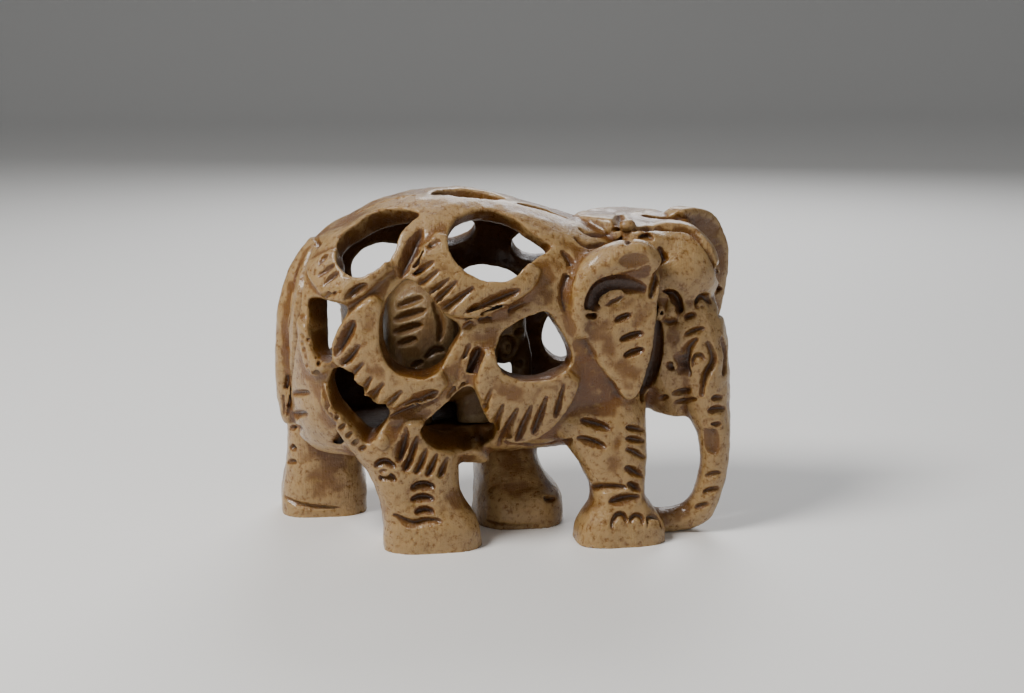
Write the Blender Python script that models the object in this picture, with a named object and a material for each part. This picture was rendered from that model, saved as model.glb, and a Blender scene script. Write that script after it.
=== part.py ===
"""A soapstone elephant carved through into openwork, with a smaller elephant standing loose inside it."""

import math

import bmesh
import bpy
from mathutils import Matrix, Vector
from mathutils.bvhtree import BVHTree

# Driving dimensions, in metres
LENGTH = 0.076  # tail to trunk, along X; the body looks along +X
WALL = 0.0046  # stone left between the surface and the hollow
FLOOR = 0.0054  # stone left under the little elephant, over the belly
HOLLOW_LENGTH = 0.043  # of the hollow, from the wall at the rump forward
HEADROOM = 0.0098  # free height over the little elephant
SIDE_ROOM = 0.0040  # free width on each side of it
GAP = 0.0003  # free gap under its feet
PETAL_RISE = 0.0011  # how far a petal stands out from the body
NOTCH_WIDTH = 0.0017  # of a knife cut, at its middle
NOTCH_DEPTH = 0.0009
HEAD_TURN = 40.0  # degrees, from straight ahead towards the elephant's right

# How finely the stone is worked, in metres, and the triangles left by it
GRAIN = 0.0006
OUTER_TRIANGLES = 5000
INNER_TRIANGLES = 1100

# The free forms are drawn with the elephant 76 units long, so a unit is a share of its length
UNIT = LENGTH / 76.0
BEYOND = 90.0  # further out than any of the stone
REACH = 6.0  # how far a cutter reaches past the surface that it cuts

# Rows along the body: x, middle height, half height, half width
BODY = (
    (-36.6, 29.5, 8.0, 6.0),
    (-35.6, 29.6, 13.0, 9.6),
    (-33.6, 30.6, 16.4, 12.8),
    (-30.5, 31.5, 18.6, 15.0),
    (-27.0, 32.3, 19.7, 16.3),
    (-21.0, 33.7, 21.2, 17.1),
    (-14.0, 34.5, 22.0, 17.4),
    (-7.0, 34.4, 22.0, 17.4),
    (0.0, 33.9, 21.2, 17.3),
    (7.0, 33.0, 19.9, 17.0),
    (13.0, 32.3, 18.3, 16.2),
    (18.0, 32.2, 16.6, 14.5),
    (22.0, 32.5, 14.0, 11.0),
)
BODY_SQUARENESS = 2.5
HOLLOW_SQUARENESS = 3.2

# Rows up each leg: height, x, y, half length, half width
LEGS = {
    "near_hind": (
        (-1.0, -14.6, -11.2, 8.1, 5.9),
        (3.5, -14.9, -11.2, 7.7, 5.8),
        (8.0, -16.5, -11.0, 6.6, 5.4),
        (12.0, -17.5, -10.6, 7.2, 5.6),
        (17.0, -19.0, -9.8, 9.2, 6.2),
        (22.0, -20.5, -8.5, 10.5, 6.0),
    ),
    "near_fore": (
        (-1.0, 15.8, -13.2, 7.5, 5.5),
        (3.0, 15.8, -13.2, 7.0, 5.3),
        (7.5, 15.6, -12.6, 4.4, 4.8),
        (13.0, 14.6, -11.6, 5.6, 5.2),
        (19.0, 12.5, -10.2, 7.8, 6.0),
        (24.0, 11.5, -9.0, 8.8, 6.0),
    ),
    "far_hind": (
        (-1.0, -31.6, 9.8, 7.6, 6.3),
        (4.0, -31.6, 9.8, 7.4, 6.2),
        (10.0, -31.2, 9.6, 6.6, 5.8),
        (16.0, -30.2, 9.2, 7.4, 5.8),
        (22.0, -28.0, 8.6, 9.0, 6.2),
    ),
    "far_fore": (
        (-1.0, 1.0, 1.6, 7.4, 9.0),
        (4.0, 1.0, 1.8, 7.2, 8.8),
        (6.4, 0.2, 2.6, 6.2, 8.0),
        (11.0, -0.6, 4.6, 5.2, 7.4),
        (16.0, 0.6, 6.8, 6.4, 6.8),
        (22.0, 3.0, 8.6, 8.4, 6.2),
    ),
}
LEG_SQUARENESS = 2.7

# The head is drawn from this point: forward along its heading, sideways to its left, and up
HEAD_AT = (20.7, -2.0)
# Rows up the head: height, forward, half length, half width
SKULL = (
    (19.3, 7.4, 3.4, 3.2),
    (22.0, 6.4, 5.6, 4.6),
    (26.0, 4.6, 7.8, 6.6),
    (30.0, 2.5, 9.5, 7.6),
    (36.0, 0.5, 10.5, 8.4),
    (42.0, 0.0, 10.8, 8.8),
    (48.0, -0.5, 10.0, 8.6),
    (51.8, -1.0, 8.8, 7.8),
)
# Forward, sideways, height, and the three half sizes
DOME = (5.6, -0.4, 43.6, 8.4, 6.7, 7.6)
# Rows down the trunk: forward, sideways, height, half width, half thickness
TRUNK = (
    (6.0, 0.0, 39.5, 6.0, 5.5),
    (10.3, 0.0, 34.0, 5.8, 5.0),
    (12.3, 0.0, 28.0, 5.4, 4.2),
    (13.2, 0.0, 22.0, 4.4, 3.6),
    (14.5, 0.0, 17.0, 3.3, 2.8),
    (14.9, -0.3, 12.0, 2.8, 2.4),
    (14.2, -0.8, 7.0, 2.7, 2.4),
    (12.4, -1.6, 3.2, 2.7, 2.4),
    (9.6, -3.4, 1.8, 2.7, 2.4),
    (6.8, -5.6, 1.9, 2.6, 2.3),
)
# Rows down the tail: x, y, height, half width, half thickness
TAIL = (
    (-31.4, 0.0, 47.6, 2.4, 1.6),
    (-34.8, 0.0, 43.4, 2.3, 1.6),
    (-36.9, 0.0, 37.0, 2.1, 1.5),
    (-37.6, 0.0, 29.0, 2.2, 1.5),
    (-37.4, 0.0, 22.0, 2.4, 1.5),
    (-37.0, 0.0, 17.8, 1.2, 0.9),
)
# An ear seen from the side, its points counted from its front edge and the ground
EAR = (
    (0.4, 47.0), (-4.8, 47.6), (-10.2, 45.0), (-12.9, 38.4),
    (-11.8, 31.5), (-8.4, 25.4), (-3.4, 21.9), (-0.4, 27.0), (0.8, 38.0),
)
# Each ear: its root, the angle of the way from its free edge to its root, its rise, and its
# thickness towards the right of that way
EARS = (
    ("near_ear", (20.2, -13.6, 0.0), 0.0, 0.0, 4.4),
    ("far_ear", (26.2, 1.6, 0.0), 214.0, 4.4, -3.6),
)
SKULL_SQUARENESS = 2.6
TRUNK_SQUARENESS = 2.2

# The openings in each side: x and height of the middle, half length and half height, then the
# straight sides that the strands of stone give it, each as the angle it faces and its distance.
# Angles turn from the head (0) over the back (90) to the tail (180).
NEAR_OPENINGS = {
    "rump_ring": (-24.2, 48.8, 5.2, 5.6, ((172, 4.9), (350, 4.5))),
    "back_oval": (-4.0, 48.3, 8.0, 5.3, ((42, 5.0), (318, 5.0))),
    "flank": (-16.6, 35.8, 6.3, 8.0, ((45, 4.7),)),
    "shoulder": (1.2, 33.2, 6.3, 6.4, ((270, 4.6), (35, 5.0))),
    "thigh": (-31.0, 36.4, 3.9, 5.3, ((80, 4.2), (335, 2.4))),
    "hock": (-25.7, 24.4, 4.6, 5.8, ((56, 2.4), (215, 3.6))),
    "belly": (-10.5, 21.0, 6.1, 5.8, ((135, 3.7), (238, 4.1), (25, 4.4))),
}
FAR_OPENINGS = {
    "rump_ring": (-21.5, 41.6, 5.6, 5.0, ((200, 5.0),)),
    "back_oval": (-2.0, 36.4, 7.0, 5.2, ((318, 5.0),)),
    "back_small": (-9.5, 49.6, 4.6, 3.8, ()),
    "withers": (7.5, 46.6, 5.0, 3.8, ((25, 4.2),)),
    "shoulder": (11.2, 28.6, 4.0, 5.0, ((150, 3.5),)),
    "thigh": (-31.4, 31.6, 3.6, 5.2, ((300, 3.6),)),
    "flank": (-16.4, 28.4, 6.0, 5.4, ((45, 4.6),)),
    "belly": (-0.6, 23.4, 5.6, 3.6, ((90, 3.2),)),
}
# On top: x, y, half length, half width
BACK_OPENING = (-7.5, -2.6, 6.0, 4.4)
OPENING_TAPER = 0.84  # of an opening's size at its inner end
OPENING_DEPTH = 2.6  # how many walls deep its cutter goes
CUT_LIFT = 0.2  # of a cut's depth, by which its cutter stands off the surface
CUT_HEIGHT = 1.2  # of a cut's depth, that its cutter stands up over its middle

# The petals, crescents of stone around some openings: the angles they run between, their width at
# the middle, the scallops of their edge, and how far their knife cuts slant from straight outwards
NEAR_PETALS = {
    "rump_ring": (188, 318, 3.9, 6, 20),
    "back_oval": (150, 312, 6.4, 7, 35),
    "flank": (145, 306, 5.9, 7, 30),
    "shoulder": (182, 322, 8.2, 7, 12),
    "thigh": (185, 300, 2.2, 4, 15),
    "hock": (186, 300, 2.6, 6, 0),
    "belly": (178, 262, 3.8, 4, 0),
}
FAR_PETALS = {
    "rump_ring": (180, 320, 4.0, 6, 20),
    "back_oval": (190, 330, 5.0, 6, 25),
    "flank": (180, 310, 4.0, 6, 20),
}
SCALLOP = 0.12  # how deep a scallop is, as a share of the petal's width
PETAL_START = 0.7  # of the opening's size, from where a petal's stone reaches outwards
PETAL_CUT = (0.55, 0.85)  # of the petal's width: how far out the middle of a cut is, and its length

# Rows of knife cuts seen from the side: first and last middle (x, height), how many, length, tilt
NEAR_NOTCHES = (
    ((-15.8, 13.9), (-13.6, 4.6), 5, 4.6, 4),
    ((-19.6, 14.8), (-19.2, 12.2), 2, 3.4, -14),
    ((10.6, 18.6), (10.2, 16.2), 2, 4.0, -14),
    ((17.4, 17.6), (18.6, 8.4), 5, 2.4, -14),
    ((12.4, 8.6), (15.4, 6.6), 2, 3.8, 0),
    ((14.0, 33.4), (15.6, 29.4), 3, 3.4, 16),
    ((24.6, 35.6), (25.8, 33.0), 2, 2.6, 12),
    ((30.4, 24.4), (31.6, 11.0), 4, 3.4, 10),
)
FAR_NOTCHES = (
    ((-31.2, 15.5), (-31.4, 5.5), 4, 4.0, 0),
    ((0.0, 14.5), (0.6, 5.5), 4, 4.0, 0),
)
# Carved lines seen from the side: width, depth, and the points they run through
NEAR_GROOVES = (
    (3.4, 1.5, ((10.4, 36.6), (10.9, 40.2), (13.6, 42.4), (18.6, 42.0))),
    (2.6, 2.4, ((20.4, 37.0), (21.6, 32.6), (21.3, 28.0), (20.6, 23.6))),
    (1.4, 0.9, ((8.0, 50.4), (11.6, 49.2), (15.6, 49.6))),
)
EYE = (23.6, 38.2, 1.1, 1.8)  # x, height, half length, half height
EYE_DEPTH = 1.4
SCROLL = (28.4, 29.6, 3.0, 1.5, 0.7)  # x, height, outer radius, turns, and how far it winds in
SCROLL_WIDTH = 1.3
SCROLL_DEPTH = 0.9

# The little elephant, drawn this high and wide, with its feet at height 0, and fitted to the hollow
INNER_HEIGHT = 24.0
INNER_WIDTH = 17.6
INNER_BODY = (
    (-12.0, 12.0, 4.6, 4.2),
    (-10.8, 12.6, 8.8, 6.8),
    (-7.0, 13.4, 10.6, 8.6),
    (-2.0, 13.0, 10.0, 8.8),
    (3.0, 12.4, 8.8, 7.8),
    (6.5, 12.4, 6.4, 5.6),
)
# Rows up one hind and one fore leg: height, x, y, half length, half width; the other side mirrors them
INNER_LEGS = (
    ((-1.0, -7.6, 3.4, 3.2, 2.3), (3.0, -7.2, 3.6, 3.2, 2.6), (6.0, -7.2, 3.8, 3.6, 3.2)),
    ((-1.0, 3.0, 3.3, 3.0, 2.2), (3.0, 2.8, 3.5, 3.0, 2.5), (6.0, 2.6, 3.6, 3.4, 3.0)),
)
INNER_HEAD = (8.0, 15.2, 3.9, 5.4, 6.6)  # x, height, and the three half sizes
INNER_EAR = (4.6, 14.8, 1.8, 6.0)  # x, height, half length, half height; as thick as it is long
INNER_TRUNK = (
    (9.4, 0.0, 15.0, 2.6, 2.4),
    (11.0, 0.0, 10.0, 2.0, 1.9),
    (11.2, 0.0, 5.0, 1.8, 1.7),
    (10.4, 0.0, 1.4, 1.7, 1.6),
)
INNER_SHIFT = -9.6  # of its middle, along the big one's length, in the big one's units
INNER_NOTCHES = ((-7.6, 20.6), (-7.0, 14.4), 4, 4.6, 12)
INNER_EYE = (7.6, 13.2, 1.5, 0.85, 0.0)  # as the scroll
INNER_EYE_WIDTH = 1.0


def clear_scene():
    for item in list(bpy.data.objects):
        bpy.data.objects.remove(item)


def stone_material(name, colour, roughness):
    material = bpy.data.materials.new(name)
    material.use_nodes = True
    shader = material.node_tree.nodes["Principled BSDF"]
    shader.inputs["Base Color"].default_value = colour
    shader.inputs["Roughness"].default_value = roughness
    return material


def object_from(builder, name):
    mesh = bpy.data.meshes.new(name)
    bmesh.ops.recalc_face_normals(builder, faces=builder.faces)
    builder.to_mesh(mesh)
    builder.free()
    item = bpy.data.objects.new(name, mesh)
    bpy.context.collection.objects.link(item)
    return item


def between(before, start, end, after, t):
    """A point on the smooth curve through four points, between the middle two."""
    return [
        0.5 * (2 * b + (c - a) * t + (2 * a - 5 * b + 4 * c - d) * t**2 + (3 * b - a - 3 * c + d) * t**3)
        for a, b, c, d in zip(before, start, end, after)
    ]


def smooth_rows(rows, steps):
    """The rows with more between them, on a smooth curve through them all."""
    last = len(rows) - 1
    smooth = []
    for i in range(last):
        around = (rows[max(i - 1, 0)], rows[i], rows[i + 1], rows[min(i + 2, last)])
        smooth.extend(between(*around, step / steps) for step in range(steps))
    smooth.append(list(rows[last]))
    return smooth


def smooth_outline(points, steps=5):
    """A closed smooth outline through a few points."""
    count = len(points)
    outline = []
    for i in range(count):
        around = [points[(i + j) % count] for j in (-1, 0, 1, 2)]
        outline.extend(between(*around, step / steps) for step in range(steps))
    return outline


def rounded(angle, squareness):
    """A point on a unit outline that is a circle at squareness 2 and fuller above it."""
    across, up = math.cos(angle), math.sin(angle)
    power = 2 / squareness
    return math.copysign(abs(across) ** power, across), math.copysign(abs(up) ** power, up)


def skin_rings(builder, rings):
    """Closes a row of rings of points into a solid."""
    rings = [[builder.verts.new(point) for point in ring] for ring in rings]
    sides = len(rings[0])
    for low, high in zip(rings, rings[1:]):
        for k in range(sides):
            after = (k + 1) % sides
            builder.faces.new((low[k], low[after], high[after], high[k]))
    builder.faces.new(rings[0])
    builder.faces.new(rings[-1])


def loft(name, stations, squareness, sides=28):
    """A solid through stations, each a centre and two half axes, in units."""
    outline = [rounded(2 * math.pi * k / sides, squareness) for k in range(sides)]
    rings = []
    for centre, first, second in stations:
        rings.append([(centre + first * p + second * q) * UNIT for p, q in outline])
    builder = bmesh.new()
    skin_rings(builder, rings)
    return object_from(builder, name)


def body_stations(rows, inset=0.0, first=-1e6, last=1e6):
    """Rings across a body; the inset draws them in, and first and last keep a stretch of it."""
    for x, height, half_height, half_width in smooth_rows(rows, 4):
        if first <= x <= last:
            yield Vector((x, 0, height)), Vector((0, half_width - inset, 0)), Vector((0, 0, half_height - inset))


def leg_stations(rows):
    for height, x, y, half_length, half_width in smooth_rows(rows, 4):
        yield Vector((x, y, height)), Vector((half_length, 0, 0)), Vector((0, half_width, 0))


def path_stations(rows, side, place):
    """Rings square to a path; side is the direction of their first half axis."""
    rows = smooth_rows(rows, 4)
    points = [place(*row[:3]) for row in rows]
    last = len(rows) - 1
    for i, row in enumerate(rows):
        along = points[min(i + 1, last)] - points[max(i - 1, 0)]
        yield points[i], side * row[3], along.cross(side).normalized() * row[4]


def ellipsoid(name, centre, axes):
    builder = bmesh.new()
    bmesh.ops.create_uvsphere(builder, u_segments=28, v_segments=16, radius=1.0)
    for vertex in builder.verts:
        share = vertex.co.copy()
        vertex.co = (centre + axes[0] * share.x + axes[1] * share.y + axes[2] * share.z) * UNIT
    return object_from(builder, name)


def flap(name, outline, origin, along, across):
    """A thick flap: its outline runs along and up from the origin, its thickness is the way across."""
    rings = []
    for start in (origin, origin + across):
        rings.append([(start + along * a + Vector((0, 0, z))) * UNIT for a, z in outline])
    builder = bmesh.new()
    skin_rings(builder, rings)
    return object_from(builder, name)


def box(name, low, high):
    builder = bmesh.new()
    bmesh.ops.create_cube(builder, size=1.0)
    for vertex in builder.verts:
        vertex.co = Vector([a + (b - a) * (s + 0.5) for a, b, s in zip(low, high, vertex.co)])
    return object_from(builder, name)


def bake(item):
    """Puts what the modifiers make into the mesh."""
    graph = bpy.context.evaluated_depsgraph_get()
    mesh = bpy.data.meshes.new_from_object(item.evaluated_get(graph))
    item.modifiers.clear()
    item.data = mesh
    return item


def joined(items, name):
    """One object that holds all their meshes."""
    builder = bmesh.new()
    for item in items:
        builder.from_mesh(item.data)
        bpy.data.objects.remove(item)
    return object_from(builder, name)


def combine(item, tool, operation="DIFFERENCE"):
    boolean = item.modifiers.new("Combine", "BOOLEAN")
    boolean.operation = operation
    boolean.solver = "EXACT"
    boolean.object = tool
    bake(item)
    bpy.data.objects.remove(tool)
    return item


def worked(item, grain, smoothing):
    """One skin around all of it, at the given grain, with its edges softened."""
    skin = item.modifiers.new("Skin", "REMESH")
    skin.mode = "VOXEL"
    skin.voxel_size = grain
    soften = item.modifiers.new("Soften", "SMOOTH")
    soften.factor = 0.5
    soften.iterations = smoothing
    return bake(item)


def thinned(item, triangles):
    """The same form in fewer triangles."""
    count = sum(len(face.vertices) - 2 for face in item.data.polygons)
    thin = item.modifiers.new("Thin", "DECIMATE")
    thin.ratio = min(1.0, triangles / count)
    thin.use_collapse_triangulate = True
    return bake(item)


def surface_of(item):
    builder = bmesh.new()
    builder.from_mesh(item.data)
    tree = BVHTree.FromBMesh(builder)
    builder.free()
    return tree


def frame_on(tree, start, towards):
    """Where a line first meets the surface: the point, the way along, the way up, and outward."""
    point, outward, _, _ = tree.ray_cast(start * UNIT, towards)
    along = Vector((1, 0, 0))
    along = (along - outward * along.dot(outward)).normalized()
    up = outward.cross(along)
    if up.z < -0.01:
        up.negate()
    return point / UNIT, along, up, outward


def side_frame(tree, x, height, side):
    """The frame on the body's side; side is -1 near and 1 far."""
    return frame_on(tree, Vector((x, side * BEYOND, height)), Vector((0, -side, 0)))


def opening_reach(angle, half_length, half_height, flats):
    """From an opening's middle to its edge, at an angle in degrees."""
    across, up = math.cos(math.radians(angle)), math.sin(math.radians(angle))
    reach = 1 / math.hypot(across / half_length, up / half_height)
    for faces, distance in flats:
        facing = math.cos(math.radians(angle - faces))
        if facing > 0:
            reach = min(reach, distance / facing)
    return reach


def polar(frame, angle, reach):
    """A point in a frame's plane, from its middle."""
    point, along, up, _ = frame
    turn = math.radians(angle)
    return point + (along * math.cos(turn) + up * math.sin(turn)) * reach


def opening_tool(frame, shape, depth):
    """The cutter of one opening, narrower inside."""
    outward = frame[3]
    rings = []
    for lift, share in ((REACH, 1.0), (0.0, 1.0), (-depth, OPENING_TAPER)):
        ring = []
        for k in range(32):
            angle = 360 * k / 32
            ring.append((polar(frame, angle, opening_reach(angle, *shape) * share) + outward * lift) * UNIT)
        rings.append(ring)
    builder = bmesh.new()
    skin_rings(builder, rings)
    return object_from(builder, "opening")


def petal_edge(shape, petal, share):
    """The angle and the reach of a petal's outer edge, part of the way round it."""
    first, last, width, scallops, _ = petal
    angle = first + (last - first) * share
    bulge = math.sin(math.pi * share) ** 0.6
    scallop = abs(math.sin(math.pi * share * scallops))
    return angle, opening_reach(angle, *shape) + width * bulge * (1 - SCALLOP + SCALLOP * scallop)


def petal_solid(frame, shape, petal, body_rise):
    """A crescent around an opening, raised from the body."""
    steps = 6 * petal[3]
    edge = [petal_edge(shape, petal, i / steps) for i in range(steps + 1)]
    inner = [(angle, PETAL_START * opening_reach(angle, *shape)) for angle, _ in reversed(edge)]
    outline = [polar(frame, angle, reach) for angle, reach in edge + inner]
    rings = [[(point + frame[3] * lift) * UNIT for point in outline] for lift in (-REACH, REACH)]
    builder = bmesh.new()
    skin_rings(builder, rings)
    item = object_from(builder, "petal")
    raised = loft("raised_body", body_stations(BODY, -body_rise), BODY_SQUARENESS)
    return combine(item, raised, "INTERSECT")


def plain_point(x, y, height):
    return Vector((x, y, height))


def ground_tool():
    """All that is below the ground, to cut the feet flat."""
    return box("under_feet", Vector((-BEYOND, -BEYOND, -REACH)) * UNIT, Vector((BEYOND, BEYOND, 0.0)) * UNIT)


def head_axes():
    turn = math.radians(HEAD_TURN)
    return Vector((math.cos(turn), -math.sin(turn), 0)), Vector((math.sin(turn), math.cos(turn), 0))


def head_point(forward, sideways, height):
    ahead, left = head_axes()
    return Vector((HEAD_AT[0], HEAD_AT[1], height)) + ahead * forward + left * sideways


def head_parts():
    ahead, left = head_axes()
    up = Vector((0, 0, 1))
    skull = []
    for height, forward, half_length, half_width in smooth_rows(SKULL, 4):
        skull.append((head_point(forward, 0, height), ahead * half_length, left * half_width))
    parts = [loft("skull", skull, SKULL_SQUARENESS)]
    parts.append(ellipsoid("dome", head_point(*DOME[:3]), (ahead * DOME[3], left * DOME[4], up * DOME[5])))
    parts.append(loft("trunk", path_stations(TRUNK, left, head_point), TRUNK_SQUARENESS, 20))
    outline = smooth_outline(EAR)
    for name, origin, turn, rise, thickness in EARS:
        turn = math.radians(turn)
        along = Vector((math.cos(turn), math.sin(turn), 0))
        right = Vector((along.y, -along.x, 0))
        shape = [(distance, height + rise) for distance, height in outline]
        parts.append(flap(name, shape, Vector(origin), along, right * thickness))
    return parts


def openings_with_frames(tree):
    """Each opening as its frame on the body and its shape, with its petal where it has one."""
    placed = []
    sides = ((-1, NEAR_OPENINGS, NEAR_PETALS), (1, FAR_OPENINGS, FAR_PETALS))
    for side, openings, petals in sides:
        for name, (x, height, half_length, half_height, flats) in openings.items():
            frame = side_frame(tree, x, height, side)
            placed.append((frame, (half_length, half_height, flats), petals.get(name)))
    x, y, half_length, half_width = BACK_OPENING
    frame = frame_on(tree, Vector((x, y, BEYOND)), Vector((0, 0, -1)))
    placed.append((frame, (half_length, half_width, ()), None))
    return placed


def hollow_heights():
    """The heights of the hollow's floor and ceiling, in units."""
    lowest = min(height - half for _, height, half, _ in BODY)
    highest = max(height + half for _, height, half, _ in BODY)
    return lowest + FLOOR / UNIT, highest - WALL / UNIT


def hollow():
    wall = WALL / UNIT
    rear = BODY[1][0] + wall
    floor, _ = hollow_heights()
    item = loft("hollow", body_stations(BODY, wall, rear, rear + HOLLOW_LENGTH / UNIT), HOLLOW_SQUARENESS)
    low = Vector((-BEYOND, -BEYOND, floor)) * UNIT
    return combine(item, box("over_floor", low, Vector((BEYOND, BEYOND, BEYOND)) * UNIT), "INTERSECT")


def spindle(points, width, depth, sides=4):
    """A cutter along a line on the surface, given as points and outward directions, thin at its ends."""
    last = len(points) - 1
    rings = []
    for i, (point, outward) in enumerate(points):
        along = points[min(i + 1, last)][0] - points[max(i - 1, 0)][0]
        across = outward.cross(along).normalized()
        swell = max(math.sin(math.pi * i / last), 0.1) ** 0.7
        middle = point + outward * CUT_LIFT * depth
        wide = across * swell * width / 2
        tall = outward * swell * depth * CUT_HEIGHT
        outline = [rounded(2 * math.pi * k / sides, 2.0) for k in range(sides)]
        rings.append([(middle + wide * p + tall * q) * UNIT for p, q in outline])
    builder = bmesh.new()
    skin_rings(builder, rings)
    return object_from(builder, "spindle")


def groove(tree, points, width, depth, side, sides=6, steps=3):
    """A carved line through points seen from the side."""
    rows = []
    for x, height in points:
        point, _, _, outward = side_frame(tree, x, height, side)
        rows.append((*point, *outward))
    placed = [(Vector(row[:3]), Vector(row[3:]).normalized()) for row in smooth_rows(rows, steps)]
    return spindle(placed, width, depth, sides)


def notch(tree, middle, outward, direction, length):
    """A short knife cut, pointed at both ends, laid on the surface that is met from outside."""
    point, normal, _, _ = tree.ray_cast((middle + outward * REACH / 2) * UNIT, -outward)
    if normal.dot(outward) < 0.7:
        normal = outward
    along = (direction - normal * direction.dot(normal)).normalized() * length / 2
    across = normal.cross(along).normalized() * NOTCH_WIDTH / 2 / UNIT
    deep = normal * NOTCH_DEPTH / UNIT
    centre = point / UNIT + deep * CUT_LIFT
    builder = bmesh.new()
    tips = [builder.verts.new((centre + along * end) * UNIT) for end in (-1, 1)]
    ring = [builder.verts.new((centre + out) * UNIT) for out in (across, deep, -across, -deep * CUT_HEIGHT)]
    for k in range(4):
        for tip in tips:
            builder.faces.new((tip, ring[k], ring[(k + 1) % 4]))
    return object_from(builder, "notch")


def notch_row(tree, side, first, last, count, length, tilt):
    """A row of knife cuts seen from the side."""
    turn = math.radians(tilt)
    cuts = []
    for i in range(count):
        x, height = (a + (b - a) * i / (count - 1) for a, b in zip(first, last))
        middle, _, _, outward = side_frame(tree, x, height, side)
        cuts.append(notch(tree, middle, outward, Vector((math.cos(turn), 0, math.sin(turn))), length))
    return cuts


def petal_notches(tree, frame, shape, petal):
    """The knife cuts of a petal, one in each scallop."""
    scallops, slant = petal[3], petal[4]
    cuts = []
    for i in range(scallops):
        angle, edge = petal_edge(shape, petal, (i + 0.5) / scallops)
        rim = opening_reach(angle, *shape)
        middle = polar(frame, angle, rim + PETAL_CUT[0] * (edge - rim))
        direction = polar(frame, angle - slant, 1.0) - frame[0]
        cuts.append(notch(tree, middle, frame[3], direction, PETAL_CUT[1] * (edge - rim)))
    return cuts


def curl(tree, x, height, radius, turns, shrink, width, depth):
    """A carved line that winds round a point of the near side, closer by the share of shrink."""
    steps = 2 * round(6 * turns) + 2
    placed = []
    for i in range(steps + 1):
        turn = 2 * math.pi * (turns * i / steps + 0.3)
        reach = radius * (1 - shrink * i / steps)
        frame = side_frame(tree, x + reach * math.cos(turn), height + reach * math.sin(turn), -1)
        placed.append((frame[0], frame[3]))
    return spindle(placed, width, depth)


def eye_tool(tree):
    x, height, half_length, half_height = EYE
    point, along, up, outward = side_frame(tree, x, height, -1)
    return ellipsoid("eye", point, (along * half_length, up * half_height, outward * EYE_DEPTH))


def carve(item, tools):
    for tool in tools:
        combine(item, tool)
    return item


def inner_leg(name, rows, side):
    mirrored = [(height, x, y * side, half_length, half_width) for height, x, y, half_length, half_width in rows]
    return loft(name, leg_stations(mirrored), LEG_SQUARENESS, 16)


def inner_elephant(material):
    across = Vector((0, 1, 0))
    parts = [loft("inner_body", body_stations(INNER_BODY), BODY_SQUARENESS)]
    parts.append(loft("inner_trunk", path_stations(INNER_TRUNK, across, plain_point), TRUNK_SQUARENESS, 16))
    x, height, half_length, half_width, half_height = INNER_HEAD
    axes = (Vector((half_length, 0, 0)), Vector((0, half_width, 0)), Vector((0, 0, half_height)))
    parts.append(ellipsoid("inner_head", Vector((x, 0, height)), axes))
    x, height, half_length, half_height = INNER_EAR
    axes = (Vector((half_length, 0, 0)), Vector((0, half_length, 0)), Vector((0, 0, half_height)))
    for side in (-1, 1):
        ear_at = Vector((x, side * INNER_HEAD[3], height))
        parts.append(ellipsoid("inner_ear", ear_at, axes))
        parts.extend(inner_leg("inner_leg", rows, side) for rows in INNER_LEGS)
    item = worked(joined(parts, "inner_elephant"), GRAIN, 3)
    thinned(item, INNER_TRIANGLES)
    tree = surface_of(item)
    tools = notch_row(tree, -1, *INNER_NOTCHES) + notch_row(tree, 1, *INNER_NOTCHES)
    tools.append(curl(tree, *INNER_EYE, INNER_EYE_WIDTH, NOTCH_DEPTH / UNIT))
    carve(item, tools)
    combine(item, ground_tool())
    floor, ceiling = hollow_heights()
    height_share = (ceiling - floor - (HEADROOM + GAP) / UNIT) / INNER_HEIGHT
    hollow_width = 2 * (max(row[3] for row in BODY) - WALL / UNIT)
    width_share = (hollow_width - 2 * SIDE_ROOM / UNIT) / INNER_WIDTH
    place = Matrix.Translation(Vector((INNER_SHIFT, 0, floor + GAP / UNIT)) * UNIT)
    item.data.transform(place @ Matrix.Diagonal((height_share, width_share, height_share, 1.0)))
    item.data.materials.clear()
    item.data.materials.append(material)
    return item


def outer_elephant(material):
    body = loft("body", body_stations(BODY), BODY_SQUARENESS)
    openings = openings_with_frames(surface_of(body))
    parts = [body]
    for frame, shape, petal in openings:
        if petal:
            parts.append(petal_solid(frame, shape, petal, PETAL_RISE / UNIT))
    for name, rows in LEGS.items():
        parts.append(loft(name, leg_stations(rows), LEG_SQUARENESS, 20))
    parts.extend(head_parts())
    parts.append(loft("tail", path_stations(TAIL, Vector((0, 1, 0)), plain_point), 2.0, 14))
    item = worked(joined(parts, "outer_elephant"), GRAIN, 4)
    combine(item, hollow())
    for frame, shape, _ in openings:
        combine(item, opening_tool(frame, shape, OPENING_DEPTH * WALL / UNIT))
    worked(item, GRAIN, 4)
    thinned(item, OUTER_TRIANGLES)
    tree = surface_of(item)
    tools = [groove(tree, points, width, depth, -1) for width, depth, points in NEAR_GROOVES]
    tools.append(curl(tree, *SCROLL, SCROLL_WIDTH, SCROLL_DEPTH))
    tools.append(eye_tool(tree))
    for row in NEAR_NOTCHES:
        tools.extend(notch_row(tree, -1, *row))
    for row in FAR_NOTCHES:
        tools.extend(notch_row(tree, 1, *row))
    for frame, shape, petal in openings:
        if petal:
            tools.extend(petal_notches(tree, frame, shape, petal))
    carve(item, tools)
    combine(item, ground_tool())
    item.data.materials.clear()
    item.data.materials.append(material)
    return item


def centre(items):
    """Moves the pieces together, until the first one's box is centred over the origin."""
    for axis in (0, 1):
        places = [vertex.co[axis] for vertex in items[0].data.vertices]
        shift = Vector((0, 0, 0))
        shift[axis] = -(min(places) + max(places)) / 2
        for item in items:
            item.data.transform(Matrix.Translation(shift))


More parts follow.
